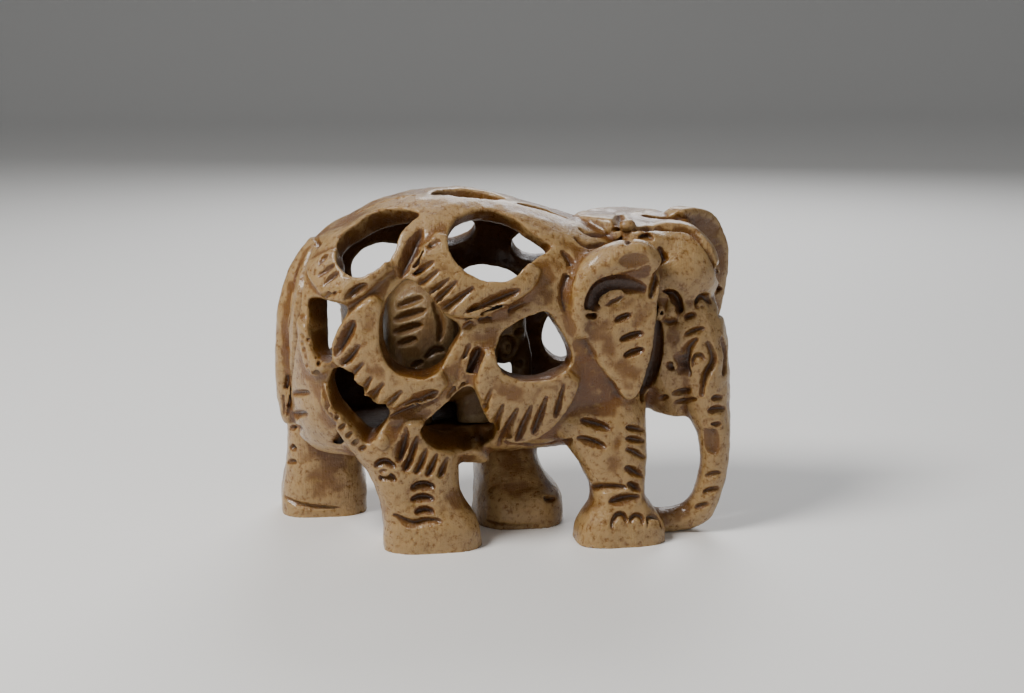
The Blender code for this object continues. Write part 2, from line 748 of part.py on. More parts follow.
def main():
    clear_scene()
    outer = outer_elephant(stone_material("golden_soapstone", (0.47, 0.29, 0.12, 1.0), 0.35))
    inner = inner_elephant(stone_material("olive_soapstone", (0.36, 0.26, 0.13, 1.0), 0.45))
    centre((outer, inner))


main()
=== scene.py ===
import math
from contextlib import contextmanager

import bpy
import numpy as np
from mathutils import Matrix, Vector
from mathutils.bvhtree import BVHTree


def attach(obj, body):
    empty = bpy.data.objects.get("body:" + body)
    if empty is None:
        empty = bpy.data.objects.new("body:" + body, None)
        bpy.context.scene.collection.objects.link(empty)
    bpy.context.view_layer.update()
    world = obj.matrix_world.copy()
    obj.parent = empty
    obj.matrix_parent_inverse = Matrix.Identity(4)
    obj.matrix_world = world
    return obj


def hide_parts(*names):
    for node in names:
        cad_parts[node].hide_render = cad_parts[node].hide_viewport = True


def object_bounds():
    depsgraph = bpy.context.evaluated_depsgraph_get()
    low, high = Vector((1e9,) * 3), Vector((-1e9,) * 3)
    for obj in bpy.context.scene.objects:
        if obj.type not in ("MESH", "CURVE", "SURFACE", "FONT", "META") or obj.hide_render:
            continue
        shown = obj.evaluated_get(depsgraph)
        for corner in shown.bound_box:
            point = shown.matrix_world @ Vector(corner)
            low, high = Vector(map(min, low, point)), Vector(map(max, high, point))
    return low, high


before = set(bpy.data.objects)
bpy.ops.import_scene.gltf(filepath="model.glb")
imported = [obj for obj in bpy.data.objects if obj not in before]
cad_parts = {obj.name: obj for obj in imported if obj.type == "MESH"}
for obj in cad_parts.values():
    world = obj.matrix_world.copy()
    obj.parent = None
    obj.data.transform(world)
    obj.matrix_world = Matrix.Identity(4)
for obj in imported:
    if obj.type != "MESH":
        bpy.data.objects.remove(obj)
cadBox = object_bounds()
bpy.ops.object.select_all(action="DESELECT")
print("frame loaded")

mm = 0.001

# Where the photograph is taken from. Near side features below are placed by its pixels.
photo = {
    "azimuth": -8.0,
    "elevation": 12.0,
    "distance": 250.0,
    "focalPixels": 1500.0,
    "lookAt": (0.0, 0.0, 29.577),
    "middle": (512.0, 346.5),
    "width": 1024,
    "seat": (0.35, 0.1, 0.0),  # from the drawing's middle to the part's, in mm
}


def photoAxes():
    turn, rise = math.radians(photo["azimuth"]), math.radians(photo["elevation"])
    back = Vector((math.sin(turn) * math.cos(rise), -math.cos(turn) * math.cos(rise), math.sin(rise)))
    right = Vector((math.cos(turn), math.sin(turn), 0))
    return right, back.cross(right), back


def photoEye():
    return (Vector(photo["lookAt"]) + photoAxes()[2] * photo["distance"]) * mm


def photoRay(x, y):
    right, up, back = photoAxes()
    across, down = x - photo["middle"][0], y - photo["middle"][1]
    return (right * across - up * down - back * photo["focalPixels"]).normalized()


# Small helpers for work with the operators

def only(item):
    bpy.ops.object.select_all(action="DESELECT")
    item.select_set(True)
    bpy.context.view_layer.objects.active = item


def applied(item, kind, **settings):
    only(item)
    modifier = item.modifiers.new("work", kind)
    for name, value in settings.items():
        setattr(modifier, name, value)
    bpy.ops.object.modifier_apply(modifier=modifier.name)
    return item


@contextmanager
def editing(item):
    # its whole mesh is selected at the start
    only(item)
    bpy.ops.object.mode_set(mode="EDIT")
    bpy.ops.mesh.select_all(action="SELECT")
    yield
    bpy.ops.object.mode_set(mode="OBJECT")


def linked(name, data):
    item = bpy.data.objects.new(name, data)
    bpy.context.collection.objects.link(item)
    only(item)
    return item


def cutFlat(item, place, way, side="clear_inner"):
    # takes off what lies on one side of a plane and closes the cut
    with editing(item):
        bpy.ops.mesh.bisect(plane_co=place, plane_no=way, use_fill=True, **{side: True})


def mergedAndTurnedOut(item, threshold):
    with editing(item):
        bpy.ops.mesh.remove_doubles(threshold=threshold)
        bpy.ops.mesh.normals_make_consistent(inside=False)
    return item


def joined(items, name):
    bpy.ops.object.select_all(action="DESELECT")
    for item in items:
        item.select_set(True)
    bpy.context.view_layer.objects.active = items[0]
    bpy.ops.object.join()
    items[0].name = name
    return items[0]


def combined(item, tool, operation="DIFFERENCE"):
    applied(item, "BOOLEAN", operation=operation, solver="MANIFOLD", object=tool)
    bpy.data.objects.remove(tool)
    return item


def reworked(item, grain, rounds):
    applied(item, "REMESH", mode="VOXEL", voxel_size=grain * mm)
    if rounds:
        applied(item, "SMOOTH", factor=0.5, iterations=rounds)
    return item


def roughened(item, height, size, detail=2):
    # uneven stone: clouds of the given size and height, in mm
    clouds = bpy.data.textures.new("clouds", "CLOUDS")
    clouds.noise_scale = size * mm
    clouds.noise_depth = detail
    applied(item, "DISPLACE", texture=clouds, texture_coords="LOCAL", strength=height * mm, mid_level=0.5)
    return item


def surfaceOf(item):
    return BVHTree.FromObject(item, bpy.context.evaluated_depsgraph_get())


def pairs(numbers):
    return list(zip(numbers[::2], numbers[1::2]))


def smoothRows(rows, steps, closed=False):
    rows = [tuple(row) for row in rows]
    count = len(rows)
    spans = count if closed else count - 1
    smooth = []
    for i in range(spans):
        near = range(i - 1, i + 3)
        a, b, c, d = (rows[j % count if closed else min(max(j, 0), count - 1)] for j in near)
        for step in range(steps):
            t = step / steps
            smooth.append([
                0.5 * (2 * q + (r - p) * t + (2 * p - 5 * q + 4 * r - s) * t**2
                       + (3 * q - p - 3 * r + s) * t**3)
                for p, q, r, s in zip(a, b, c, d)
            ])
    if not closed:
        smooth.append(list(rows[-1]))
    return smooth


def stackForm(name, rows, along, corner, steps=4):
    # rows: the place along the stack, then the middle and the half size the two other ways
    k = "XYZ".index(along)
    first, second = (k + 1) % 3, (k + 2) % 3
    rows = smoothRows(rows, steps)
    middles, sizes = [], []
    for row in rows:
        middle, size = Vector((0, 0, 0)), Vector((1, 1, 1))
        middle[k], middle[first], middle[second] = row[:3]
        size[first], size[second] = row[3:5]
        middles.append(middle * mm)
        sizes.append(size)
    turn = {"Z": (0, 0, 0), "X": (0, math.radians(90), 0)}[along]
    bpy.ops.mesh.primitive_plane_add(size=2, rotation=turn)
    item = bpy.context.object
    item.name = name
    bpy.ops.object.transform_apply(rotation=True)
    with editing(item):
        bpy.ops.mesh.bevel(affect="VERTICES", offset=corner, segments=7)
        bpy.ops.mesh.select_all(action="SELECT")
        bpy.ops.transform.resize(value=[value * mm for value in sizes[0]], center_override=(0, 0, 0))
        bpy.ops.transform.translate(value=middles[0])
        for i in range(1, len(rows)):
            bpy.ops.mesh.extrude_region_move(TRANSFORM_OT_translate={"value": middles[i] - middles[i - 1]})
            ratio = [after / before for after, before in zip(sizes[i], sizes[i - 1])]
            bpy.ops.transform.resize(value=ratio, center_override=middles[i])
        bpy.ops.mesh.select_all(action="SELECT")
        bpy.ops.mesh.normals_make_consistent(inside=False)
    return item


def ball(name, middle, sizes, turn=(0, 0, 0)):
    bpy.ops.mesh.primitive_uv_sphere_add(segments=24, ring_count=16, radius=1, rotation=turn,
                                         location=Vector(middle) * mm, scale=Vector(sizes) * mm)
    item = bpy.context.object
    item.name = name
    bpy.ops.object.transform_apply(location=True, rotation=True, scale=True)
    return item


def orientedBall(name, middle, axes):
    # axes: the three half axes as vectors, in metres
    bpy.ops.mesh.primitive_uv_sphere_add(segments=20, ring_count=12, radius=1)
    item = bpy.context.object
    item.name = name
    turned = Matrix((axes[0], axes[1], axes[2])).transposed().to_4x4()
    item.data.transform(Matrix.Translation(middle) @ turned)
    if turned.determinant() < 0:
        item.data.flip_normals()
    return item


def bars(name, lines, roundness=2):
    # one mesh of round bars, each a line of points with their radii, in metres
    curve = bpy.data.curves.new(name, "CURVE")
    curve.dimensions = "3D"
    curve.bevel_depth = 1.0
    curve.bevel_resolution = roundness
    curve.use_fill_caps = True
    for line in lines:
        spline = curve.splines.new("POLY")
        spline.points.add(len(line) - 1)
        for point, (place, radius) in zip(spline.points, line):
            point.co = (*place, 1)
            point.radius = radius
    linked(name, curve)
    bpy.ops.object.convert(target="MESH")
    return mergedAndTurnedOut(bpy.context.object, 0.002 * mm)


def gouges(name, lines, lift=0.7 * mm, lean=0.3):
    # one mesh of V-shaped cuts, each a line of places on the stone with the way out, half width and depth
    points, faces = [], []
    for line in lines:
        last = len(line) - 1
        start = len(points)
        for i, (place, way, half, depth) in enumerate(line):
            ahead = line[min(i + 1, last)][0] - line[max(i - 1, 0)][0]
            across = way.cross(ahead).normalized()
            wide = half * (1 + lift / depth)
            points.append(place + way * lift + across * wide)
            points.append(place + way * lift - across * wide)
            points.append(place - way * depth + across * half * lean)
        for i in range(last):
            a = start + 3 * i
            for j, k in ((0, 1), (1, 2), (2, 0)):
                faces.append((a + j, a + k, a + k + 3, a + j + 3))
        faces.append((start + 2, start + 1, start))
        faces.append((a + 3, a + 4, a + 5))
    mesh = bpy.data.meshes.new(name)
    mesh.from_pydata(points, [], faces)
    return mergedAndTurnedOut(applied(linked(name, mesh), "TRIANGULATE"), 0.001 * mm)


def prism(name, outline, outward, outside, inside, taper):
    # an outline of points pushed out of the stone and into it, narrower inside
    middle = sum(outline, Vector()) / len(outline)
    mesh = bpy.data.meshes.new(name)
    mesh.from_pydata([point + outward * outside for point in outline], [], [list(range(len(outline)))])
    item = linked(name, mesh)
    with editing(item):
        for reach in (outside, inside):
            bpy.ops.mesh.extrude_region_move(TRANSFORM_OT_translate={"value": -outward * reach})
        bpy.ops.transform.resize(value=(taper, taper, taper), center_override=middle - outward * inside)
        bpy.ops.mesh.select_all(action="SELECT")
        bpy.ops.mesh.normals_make_consistent(inside=False)
    return item


# The big elephant's forms, before anything is cut. Rows are in mm.

body = {
    "rows": (  # x, middle height, half height, half width
        (-36.6, 29.5, 8, 6), (-35.6, 29.6, 13, 9.6), (-33.6, 30.6, 16.4, 12.8), (-30.5, 31.5, 18.6, 15),
        (-27, 32.3, 19.7, 16.3), (-21, 33.7, 21.2, 17.1), (-14, 34.5, 22, 17.4), (-7, 34.4, 22, 17.4),
        (0, 33.9, 21.2, 17.3), (7, 33, 19.9, 17), (13, 32.3, 18.3, 16.2), (18, 32.2, 16.6, 14.5),
        (22, 32.5, 14, 11),
    ),
    "corner": 0.72,
    "strandDrop": 0.75,  # how far the strands lie under the petals' foot
    "petalRise": 1.0,
    "wander": (0.7, 7.0),  # unevenness of the carved faces: height and size
    "toolMarks": (0.34, 2.0, 3),  # the same, and detail
    "roughedOut": (0.4, 3),  # grain and rounds of smoothing at each stage of the work
    "withWindows": (0.32, 2),
    "workedOver": (0.2, 1),
    "triangles": 190000,
    "shadeAndWearRounds": 14,  # of smoothing, to find what is hollow or edged
    "wall": 4.6,
    "hollowFrom": -31.0, "hollowTo": 12.0, "hollowFloor": 17.9,
    "hollowCorner": 0.5,
}


def bodyForm(name, grow, corner, first=-99.0, last=99.0):
    rows = [(x, 0.0, height, half + grow, tall + grow) for x, height, tall, half in body["rows"]]
    kept = [row for row in smoothRows(rows, 4) if first <= row[0] <= last]
    return stackForm(name, kept, "X", corner, 1)


legs = {
    "corner": 0.66,
    "nearHind": (
        (-1, -14.6, -11.2, 8, 5.8), (3.5, -14.9, -11.2, 7.6, 5.7), (8, -16.5, -11, 6.5, 5.3),
        (12, -17.5, -10.6, 7.1, 5.6), (17, -19, -9.8, 9.1, 6.2), (22, -20.5, -8.5, 10.4, 6),
    ),
    "nearFore": (
        (-1, 15.8, -13.2, 7.4, 5.3), (3, 15.8, -13.2, 6.9, 5.1), (7.5, 15.6, -12.6, 4.3, 4.7),
        (13, 14.6, -11.6, 5.5, 5.1), (19, 12.5, -10.2, 7.8, 6), (24, 11.5, -9, 8.8, 6),
    ),
    "farHind": (
        (-1, -31.6, 9.8, 7.3, 6.2), (4, -31.6, 9.8, 7.2, 6.1), (10, -31.2, 9.6, 6.5, 5.8),
        (16, -30.2, 9.2, 7.4, 5.8), (22, -28, 8.6, 9, 6.2),
    ),
    "farFore": (
        (-1, 1, 1.6, 7.4, 9), (4, 1, 1.8, 7.2, 8.8), (6.4, 0.2, 2.6, 6.2, 8), (11, -0.6, 4.6, 5.2, 7.4),
        (16, 0.6, 6.8, 6.4, 6.8), (22, 3, 8.6, 8.4, 6.2),
    ),
}

head = {
    "turn": -40.0,
    "at": (20.7, -2.0),
    "corner": 0.68,
    "skull": (  # height, forward, sideways, half length, half width
        (19.3, 7.4, 0, 3.4, 3.2), (22, 6.4, 0, 5.6, 4.6), (26, 4.6, 0, 7.8, 6.6), (30, 2.5, 0, 9.4, 7.5),
        (36, 0.5, 0, 10.2, 8.2), (42, 0, 0, 10.4, 8.6), (48, -0.5, 0, 9.9, 8.5), (51.7, -1, 0, 8.7, 7.7),
    ),
    "dome": (5.9, -0.2, 43.0, 8.3, 7.2, 8.2),
    "crest": ((-3.0, 0.0, 52.4), (0.3, 0.0, 1.0)),  # the top slopes down to the brow from here
    "trunk": (  # forward, sideways, height, half width, half thickness
        (6, 0, 39.5, 6, 5.5), (10.3, 0, 34, 5.8, 5), (12.3, 0, 28, 5.4, 4.2), (13.2, 0, 22, 4.4, 3.6),
        (14.5, 0, 17, 3.3, 2.8), (14.9, -0.3, 12, 2.8, 2.4), (14.2, -0.8, 7, 2.7, 2.4),
        (12.4, -1.6, 3.2, 2.7, 2.4), (9.6, -3.4, 1.8, 2.6, 2.3), (6.8, -5.6, 1.9, 2.5, 2.2),
    ),
}

ears = {
    "near": {
        "y": -13.2, "thick": 3.6, "lipSunk": 0.35,
        "lip": (  # in the photograph, with its radius in mm
            (583, 338, 0.9), (580, 322, 1.4), (581, 304, 1.7), (585, 288, 2), (594, 273, 2.4),
            (608, 263, 2.7), (626, 257, 2.8), (642, 256, 2.5), (652, 262, 1.8), (656, 273, 1.1),
        ),
        "outline": (  # in the photograph
            573, 306, 573, 288, 578, 270, 588, 258, 602, 250, 620, 245, 640, 242, 653, 245, 660, 255,
            662, 275, 660, 300, 656, 330, 652, 352, 646, 374, 638, 394, 628, 400, 617, 385, 606, 374,
            597, 358, 590, 342, 578, 335, 574, 322,
        ),
    },
    "far": {
        "root": (26.2, 1.6), "turn": 214.0, "rise": 4.4, "thick": 3.6,
        "outline": (  # along the ear and up, in mm
            (0.4, 47), (-4.8, 47.6), (-10.2, 45), (-12.9, 38.4), (-11.8, 31.5), (-8.4, 25.4), (-3.4, 21.9),
            (-0.4, 27), (0.8, 38),
        ),
    },
}

tail = (  # x, y, height, half width, half thickness
    (-31.4, 0, 47.6, 2.4, 1.6), (-34.8, 0, 43.4, 2.3, 1.6), (-36.9, 0, 37, 2.1, 1.5),
    (-37.6, 0, 29, 2.2, 1.5), (-37.4, 0, 22, 2.4, 1.5), (-37, 0, 17.8, 1.2, 0.9),
)


def headMatrix():
    turn = Matrix.Rotation(math.radians(head["turn"]), 4, "Z")
    return Matrix.Translation((head["at"][0] * mm, head["at"][1] * mm, 0)) @ turn


def flatBar(name, rows, wide, matrix=None):
    # a bar that is wider one way than the other: a round one, flattened
    rows = smoothRows(rows, 4)
    item = bars(name, [[(Vector(row[:3]) * mm, row[4] * mm) for row in rows]], 4)
    places = np.array([row[:3] for row in rows]) * mm
    across = Vector(wide)
    for vertex in item.data.vertices:
        nearest = int(np.argmin(np.linalg.norm(places - np.array(vertex.co), axis=1)))
        row = rows[nearest]
        off = (vertex.co - Vector(row[:3]) * mm).dot(across)
        vertex.co += across * off * (row[3] / row[4] - 1)
    if matrix:
        item.data.transform(matrix)
    return item


def nearEar():
    ear = ears["near"]
    eye = photoEye()
    front = (ear["y"] - ear["thick"]) * mm

    def onFront(x, y):
        ray = photoRay(x, y)
        return eye + ray * ((front - eye.y) / ray.y)

    outline = [onFront(x, y) for x, y in smoothRows(pairs(ear["outline"]), 3, closed=True)]
    plate = prism("nearEar", outline, Vector((0, -1, 0)), 0.01 * mm, ear["thick"] * mm, 1.0)
    lip = [
        (onFront(x, y) + Vector((0, radius * ear["lipSunk"] * mm, 0)), radius * mm)
        for x, y, radius in smoothRows(ear["lip"], 3)
    ]
    return [plate, bars("earLip", [lip], 4)]


def farEar():
    ear = ears["far"]
    turn = math.radians(ear["turn"])
    along = Vector((math.cos(turn), math.sin(turn), 0))
    right = Vector((along.y, -along.x, 0))
    root = Vector((*ear["root"], ear["rise"]))
    outline = []
    for a, z in smoothRows(ear["outline"], 5, closed=True):
        outline.append((root + along * a + Vector((0, 0, z))) * mm)
    return prism("farEar", outline, right, 0.01 * mm, ear["thick"] * mm, 1.0)


def headForms():
    place = headMatrix()
    skull = stackForm("skull", head["skull"], "Z", head["corner"])
    forward, sideways, height, *sizes = head["dome"]
    dome = ball("dome", (forward, sideways, height), sizes)
    crest, slope = head["crest"]
    cutFlat(skull, Vector(crest) * mm, slope, "clear_outer")
    for item in (skull, dome):
        item.data.transform(place)
    trunk = flatBar("trunk", head["trunk"], (0, 1, 0), place)
    return [skull, dome, trunk, *nearEar(), farEar()]


# The windows and the petals of stone round them. Near ones in the photograph's pixels.

nearWindows = {
    "rumpRing": (
        337, 263, 335, 251, 338, 240, 345, 230, 356, 223, 368, 214, 382, 209, 398, 208, 412, 210, 419,
        214, 410, 222, 401, 231, 397, 242, 394, 252, 387, 260, 374, 270, 362, 275, 349, 275,
    ),
    "backOval": (
        451, 252, 448, 240, 450, 228, 457, 218, 469, 212, 483, 209, 501, 212, 516, 219, 529, 229, 541,
        238, 552, 247, 540, 256, 527, 265, 518, 274, 508, 280, 496, 281, 484, 279, 471, 274, 459, 265,
    ),
    "flank": (
        405, 279, 394, 288, 385, 301, 380, 317, 379, 333, 380, 349, 385, 362, 394, 373, 407, 378, 423,
        380, 436, 375, 444, 366, 450, 354, 456, 345, 462, 332, 459, 324, 449, 318, 439, 309, 431, 298,
        423, 289, 414, 281,
    ),
    "shoulder": (
        497, 345, 496, 356, 500, 368, 508, 376, 520, 381, 535, 382, 550, 380, 562, 375, 570, 367, 573,
        356, 570, 345, 562, 331, 554, 319, 547, 311, 536, 314, 524, 318, 512, 325, 502, 333,
    ),
    "thigh": (
        308, 298, 322, 299, 334, 302, 346, 306, 346, 315, 339, 326, 333, 338, 331, 349, 331, 359, 325,
        364, 316, 360, 310, 349, 307, 332, 307, 315,
    ),
    "hock": (
        345, 371, 339, 367, 332, 370, 328, 381, 327, 395, 331, 408, 340, 419, 350, 430, 359, 440, 367,
        445, 376, 438, 386, 424, 390, 411, 382, 406, 372, 402, 361, 392, 354, 381,
    ),
    "belly": (
        420, 431, 432, 417, 446, 404, 456, 394, 466, 387, 474, 389, 479, 401, 486, 418, 497, 434, 490,
        444, 475, 451, 454, 454, 436, 451, 425, 442,
    ),
}

# The outer edge of each petal, closed over the middle of its window
nearPetals = {
    "rumpRing": (
        306, 262, 309, 276, 318, 290, 326, 298, 346, 303, 362, 294, 375, 284, 392, 268,
    ),
    "backOval": (
        437, 232, 424, 244, 418, 262, 418, 280, 427, 293, 437, 306, 449, 314, 464, 318, 482, 316, 508,
        305, 530, 290, 542, 270,
    ),
    "flank": (
        372, 296, 352, 312, 338, 330, 332, 346, 334, 360, 345, 370, 354, 383, 363, 394, 375, 402, 391,
        407, 415, 406, 436, 398, 448, 384,
    ),
    "shoulder": (
        487, 350, 480, 366, 476, 384, 482, 404, 490, 422, 500, 435, 518, 440, 540, 434, 560, 418, 574,
        398, 580, 380,
    ),
    "thigh": (
        298, 318, 299, 338, 303, 356, 309, 372, 318, 374, 330, 368,
    ),
    "hock": (
        322, 384, 322, 404, 334, 424, 352, 444, 366, 452, 376, 446,
    ),
    "belly": (
        410, 420, 400, 432, 401, 448, 412, 464, 428, 472, 448, 474, 470, 464, 490, 456,
    ),
}

# Far ones as seen straight from the side: x, height, half length, half height, which way the tip
# points, and for a petal the angles it runs between, its width and its strokes
farWindows = {
    "rumpRing": (-21.5, 41.6, 5.6, 4.9, 20, (175, 330, 5.0, 7)),
    "backOval": (-2.0, 36.4, 6.8, 5.2, 140, (185, 345, 5.6, 8)),
    "backSmall": (-9.5, 49.6, 4.6, 3.6, 0, None),
    "withers": (7.5, 46.6, 5.0, 3.6, 200, None),
    "shoulder": (11.2, 28.6, 3.9, 4.9, 80, (200, 340, 4.4, 6)),
    "thigh": (-31.4, 31.6, 3.5, 5.0, 90, None),
    "flank": (-16.4, 28.4, 5.9, 5.3, 150, (190, 330, 5.0, 7)),
    "belly": (-0.6, 23.4, 5.4, 3.4, 180, None),
}
backWindow = {
    "middle": (-7.5, -2.6, 56.0),
    "halfLength": 6.0,
    "halfWidth": 4.4,
    "points": 32,
    "outside": 4.0,
    "inside": 10.0,
    "taper": 0.9,
}

windowCut = {
    "outside": 6.0,
    "inside": 11.0,
    "taper": 0.86,
    "tip": 0.16,  # how far a far window's pointed end runs out, and how much its round part shrinks
    "shrink": 0.05,
    "petal": 6.0,  # half the thickness that a petal is cut from
    "petalFullness": 0.6,
}


def seenPoints(surface, pixels):
    # where the photograph's pixels fall on the stone, and the way out of it there
    eye = photoEye()
    places, ways = [], []
    for x, y in pixels:
        place, way, _, _ = surface.ray_cast(eye, photoRay(x, y))
        if place:
            places.append(place)
            ways.append(way)
    return places, ways


def sidePoint(surface, x, height):
    return surface.ray_cast(Vector((x * mm, 90 * mm, height * mm)), Vector((0, -1, 0)))[:2]


def tangents(way):
    along = Vector((1, 0, 0))
    along = (along - way * along.dot(way)).normalized()
    up = way.cross(along)
    if up.z < -0.01:
        up.negate()
    return along, up


def flatOutline(places, outward):
    middle = sum(places, Vector()) / len(places)
    return [place - outward * (place - middle).dot(outward) for place in places]


def windowReach(angle, window):
    tip = math.cos(math.radians(angle - window[4]))
    across, up = math.cos(math.radians(angle)), math.sin(math.radians(angle))
    reach = 1 / math.hypot(across / window[2], up / window[3])
    return reach * (1 + windowCut["tip"] * max(tip, 0) ** 3 - windowCut["shrink"])


def farFrame(surface, window):
    place, way = sidePoint(surface, window[0], window[1])
    return place, way, *tangents(way)


def polarPoint(frameOfWindow, angle, reach):
    place, _, along, up = frameOfWindow
    turn = math.radians(angle)
    return place + (along * math.cos(turn) + up * math.sin(turn)) * reach * mm


def petalEdge(window, petal, share):
    first, last, width, _ = petal
    angle = first + (last - first) * share
    reach = width * math.sin(math.pi * share) ** windowCut["petalFullness"]
    return angle, windowReach(angle, window) + reach


def windowTool(name, outline, outward, cut=windowCut):
    return prism(name, outline, outward, cut["outside"] * mm, cut["inside"] * mm, cut["taper"])


def windowTools(surface, plain):
    tools = []
    for name, pixels in nearWindows.items():
        places, ways = seenPoints(surface, smoothRows(pairs(pixels), 2, closed=True))
        outward = sum(ways, Vector()).normalized()
        tools.append(windowTool(name, flatOutline(places, outward), outward))
    for name, window in farWindows.items():
        around = farFrame(plain, window)
        outline = [polarPoint(around, angle, windowReach(angle, window)) for angle in range(0, 360, 10)]
        tools.append(windowTool(name + "Far", outline, around[1]))
    x, y, height = backWindow["middle"]
    outline = []
    for step in range(backWindow["points"]):
        turn = 2 * math.pi * step / backWindow["points"]
        across, along = backWindow["halfLength"] * math.cos(turn), backWindow["halfWidth"] * math.sin(turn)
        outline.append(Vector((x + across, y + along, height)) * mm)
    tools.append(windowTool("backWindow", outline, Vector((0, 0, 1)), backWindow))
    return tools


def petalForms(surface):
    forms = []
    deep = windowCut["petal"] * mm
    for name, pixels in nearPetals.items():
        places, ways = seenPoints(surface, smoothRows(pairs(pixels), 4))
        outward = sum(ways, Vector()).normalized()
        inner = pairs(nearWindows[name])
        middle = seenPoints(surface, [[sum(values) / len(inner) for values in zip(*inner)]])[0][0]
        outline = flatOutline(places + [middle], outward)
        forms.append(prism(name + "Petal", outline, outward, deep, deep, 1.0))
    for name, window in farWindows.items():
        petal = window[5]
        if petal:
            around = farFrame(surface, window)
            edge = [polarPoint(around, *petalEdge(window, petal, step / 24)) for step in range(25)]
            forms.append(prism(name + "FarPetal", edge + [around[0]], around[1], deep, deep, 1.0))
    raised = []
    for form in forms:
        shell = bodyForm("shell", body["petalRise"], body["corner"])
        raised.append(combined(form, shell, "INTERSECT"))
    return raised


# The knife's strokes on the near side: width and depth in mm, then a line in the photograph's pixels

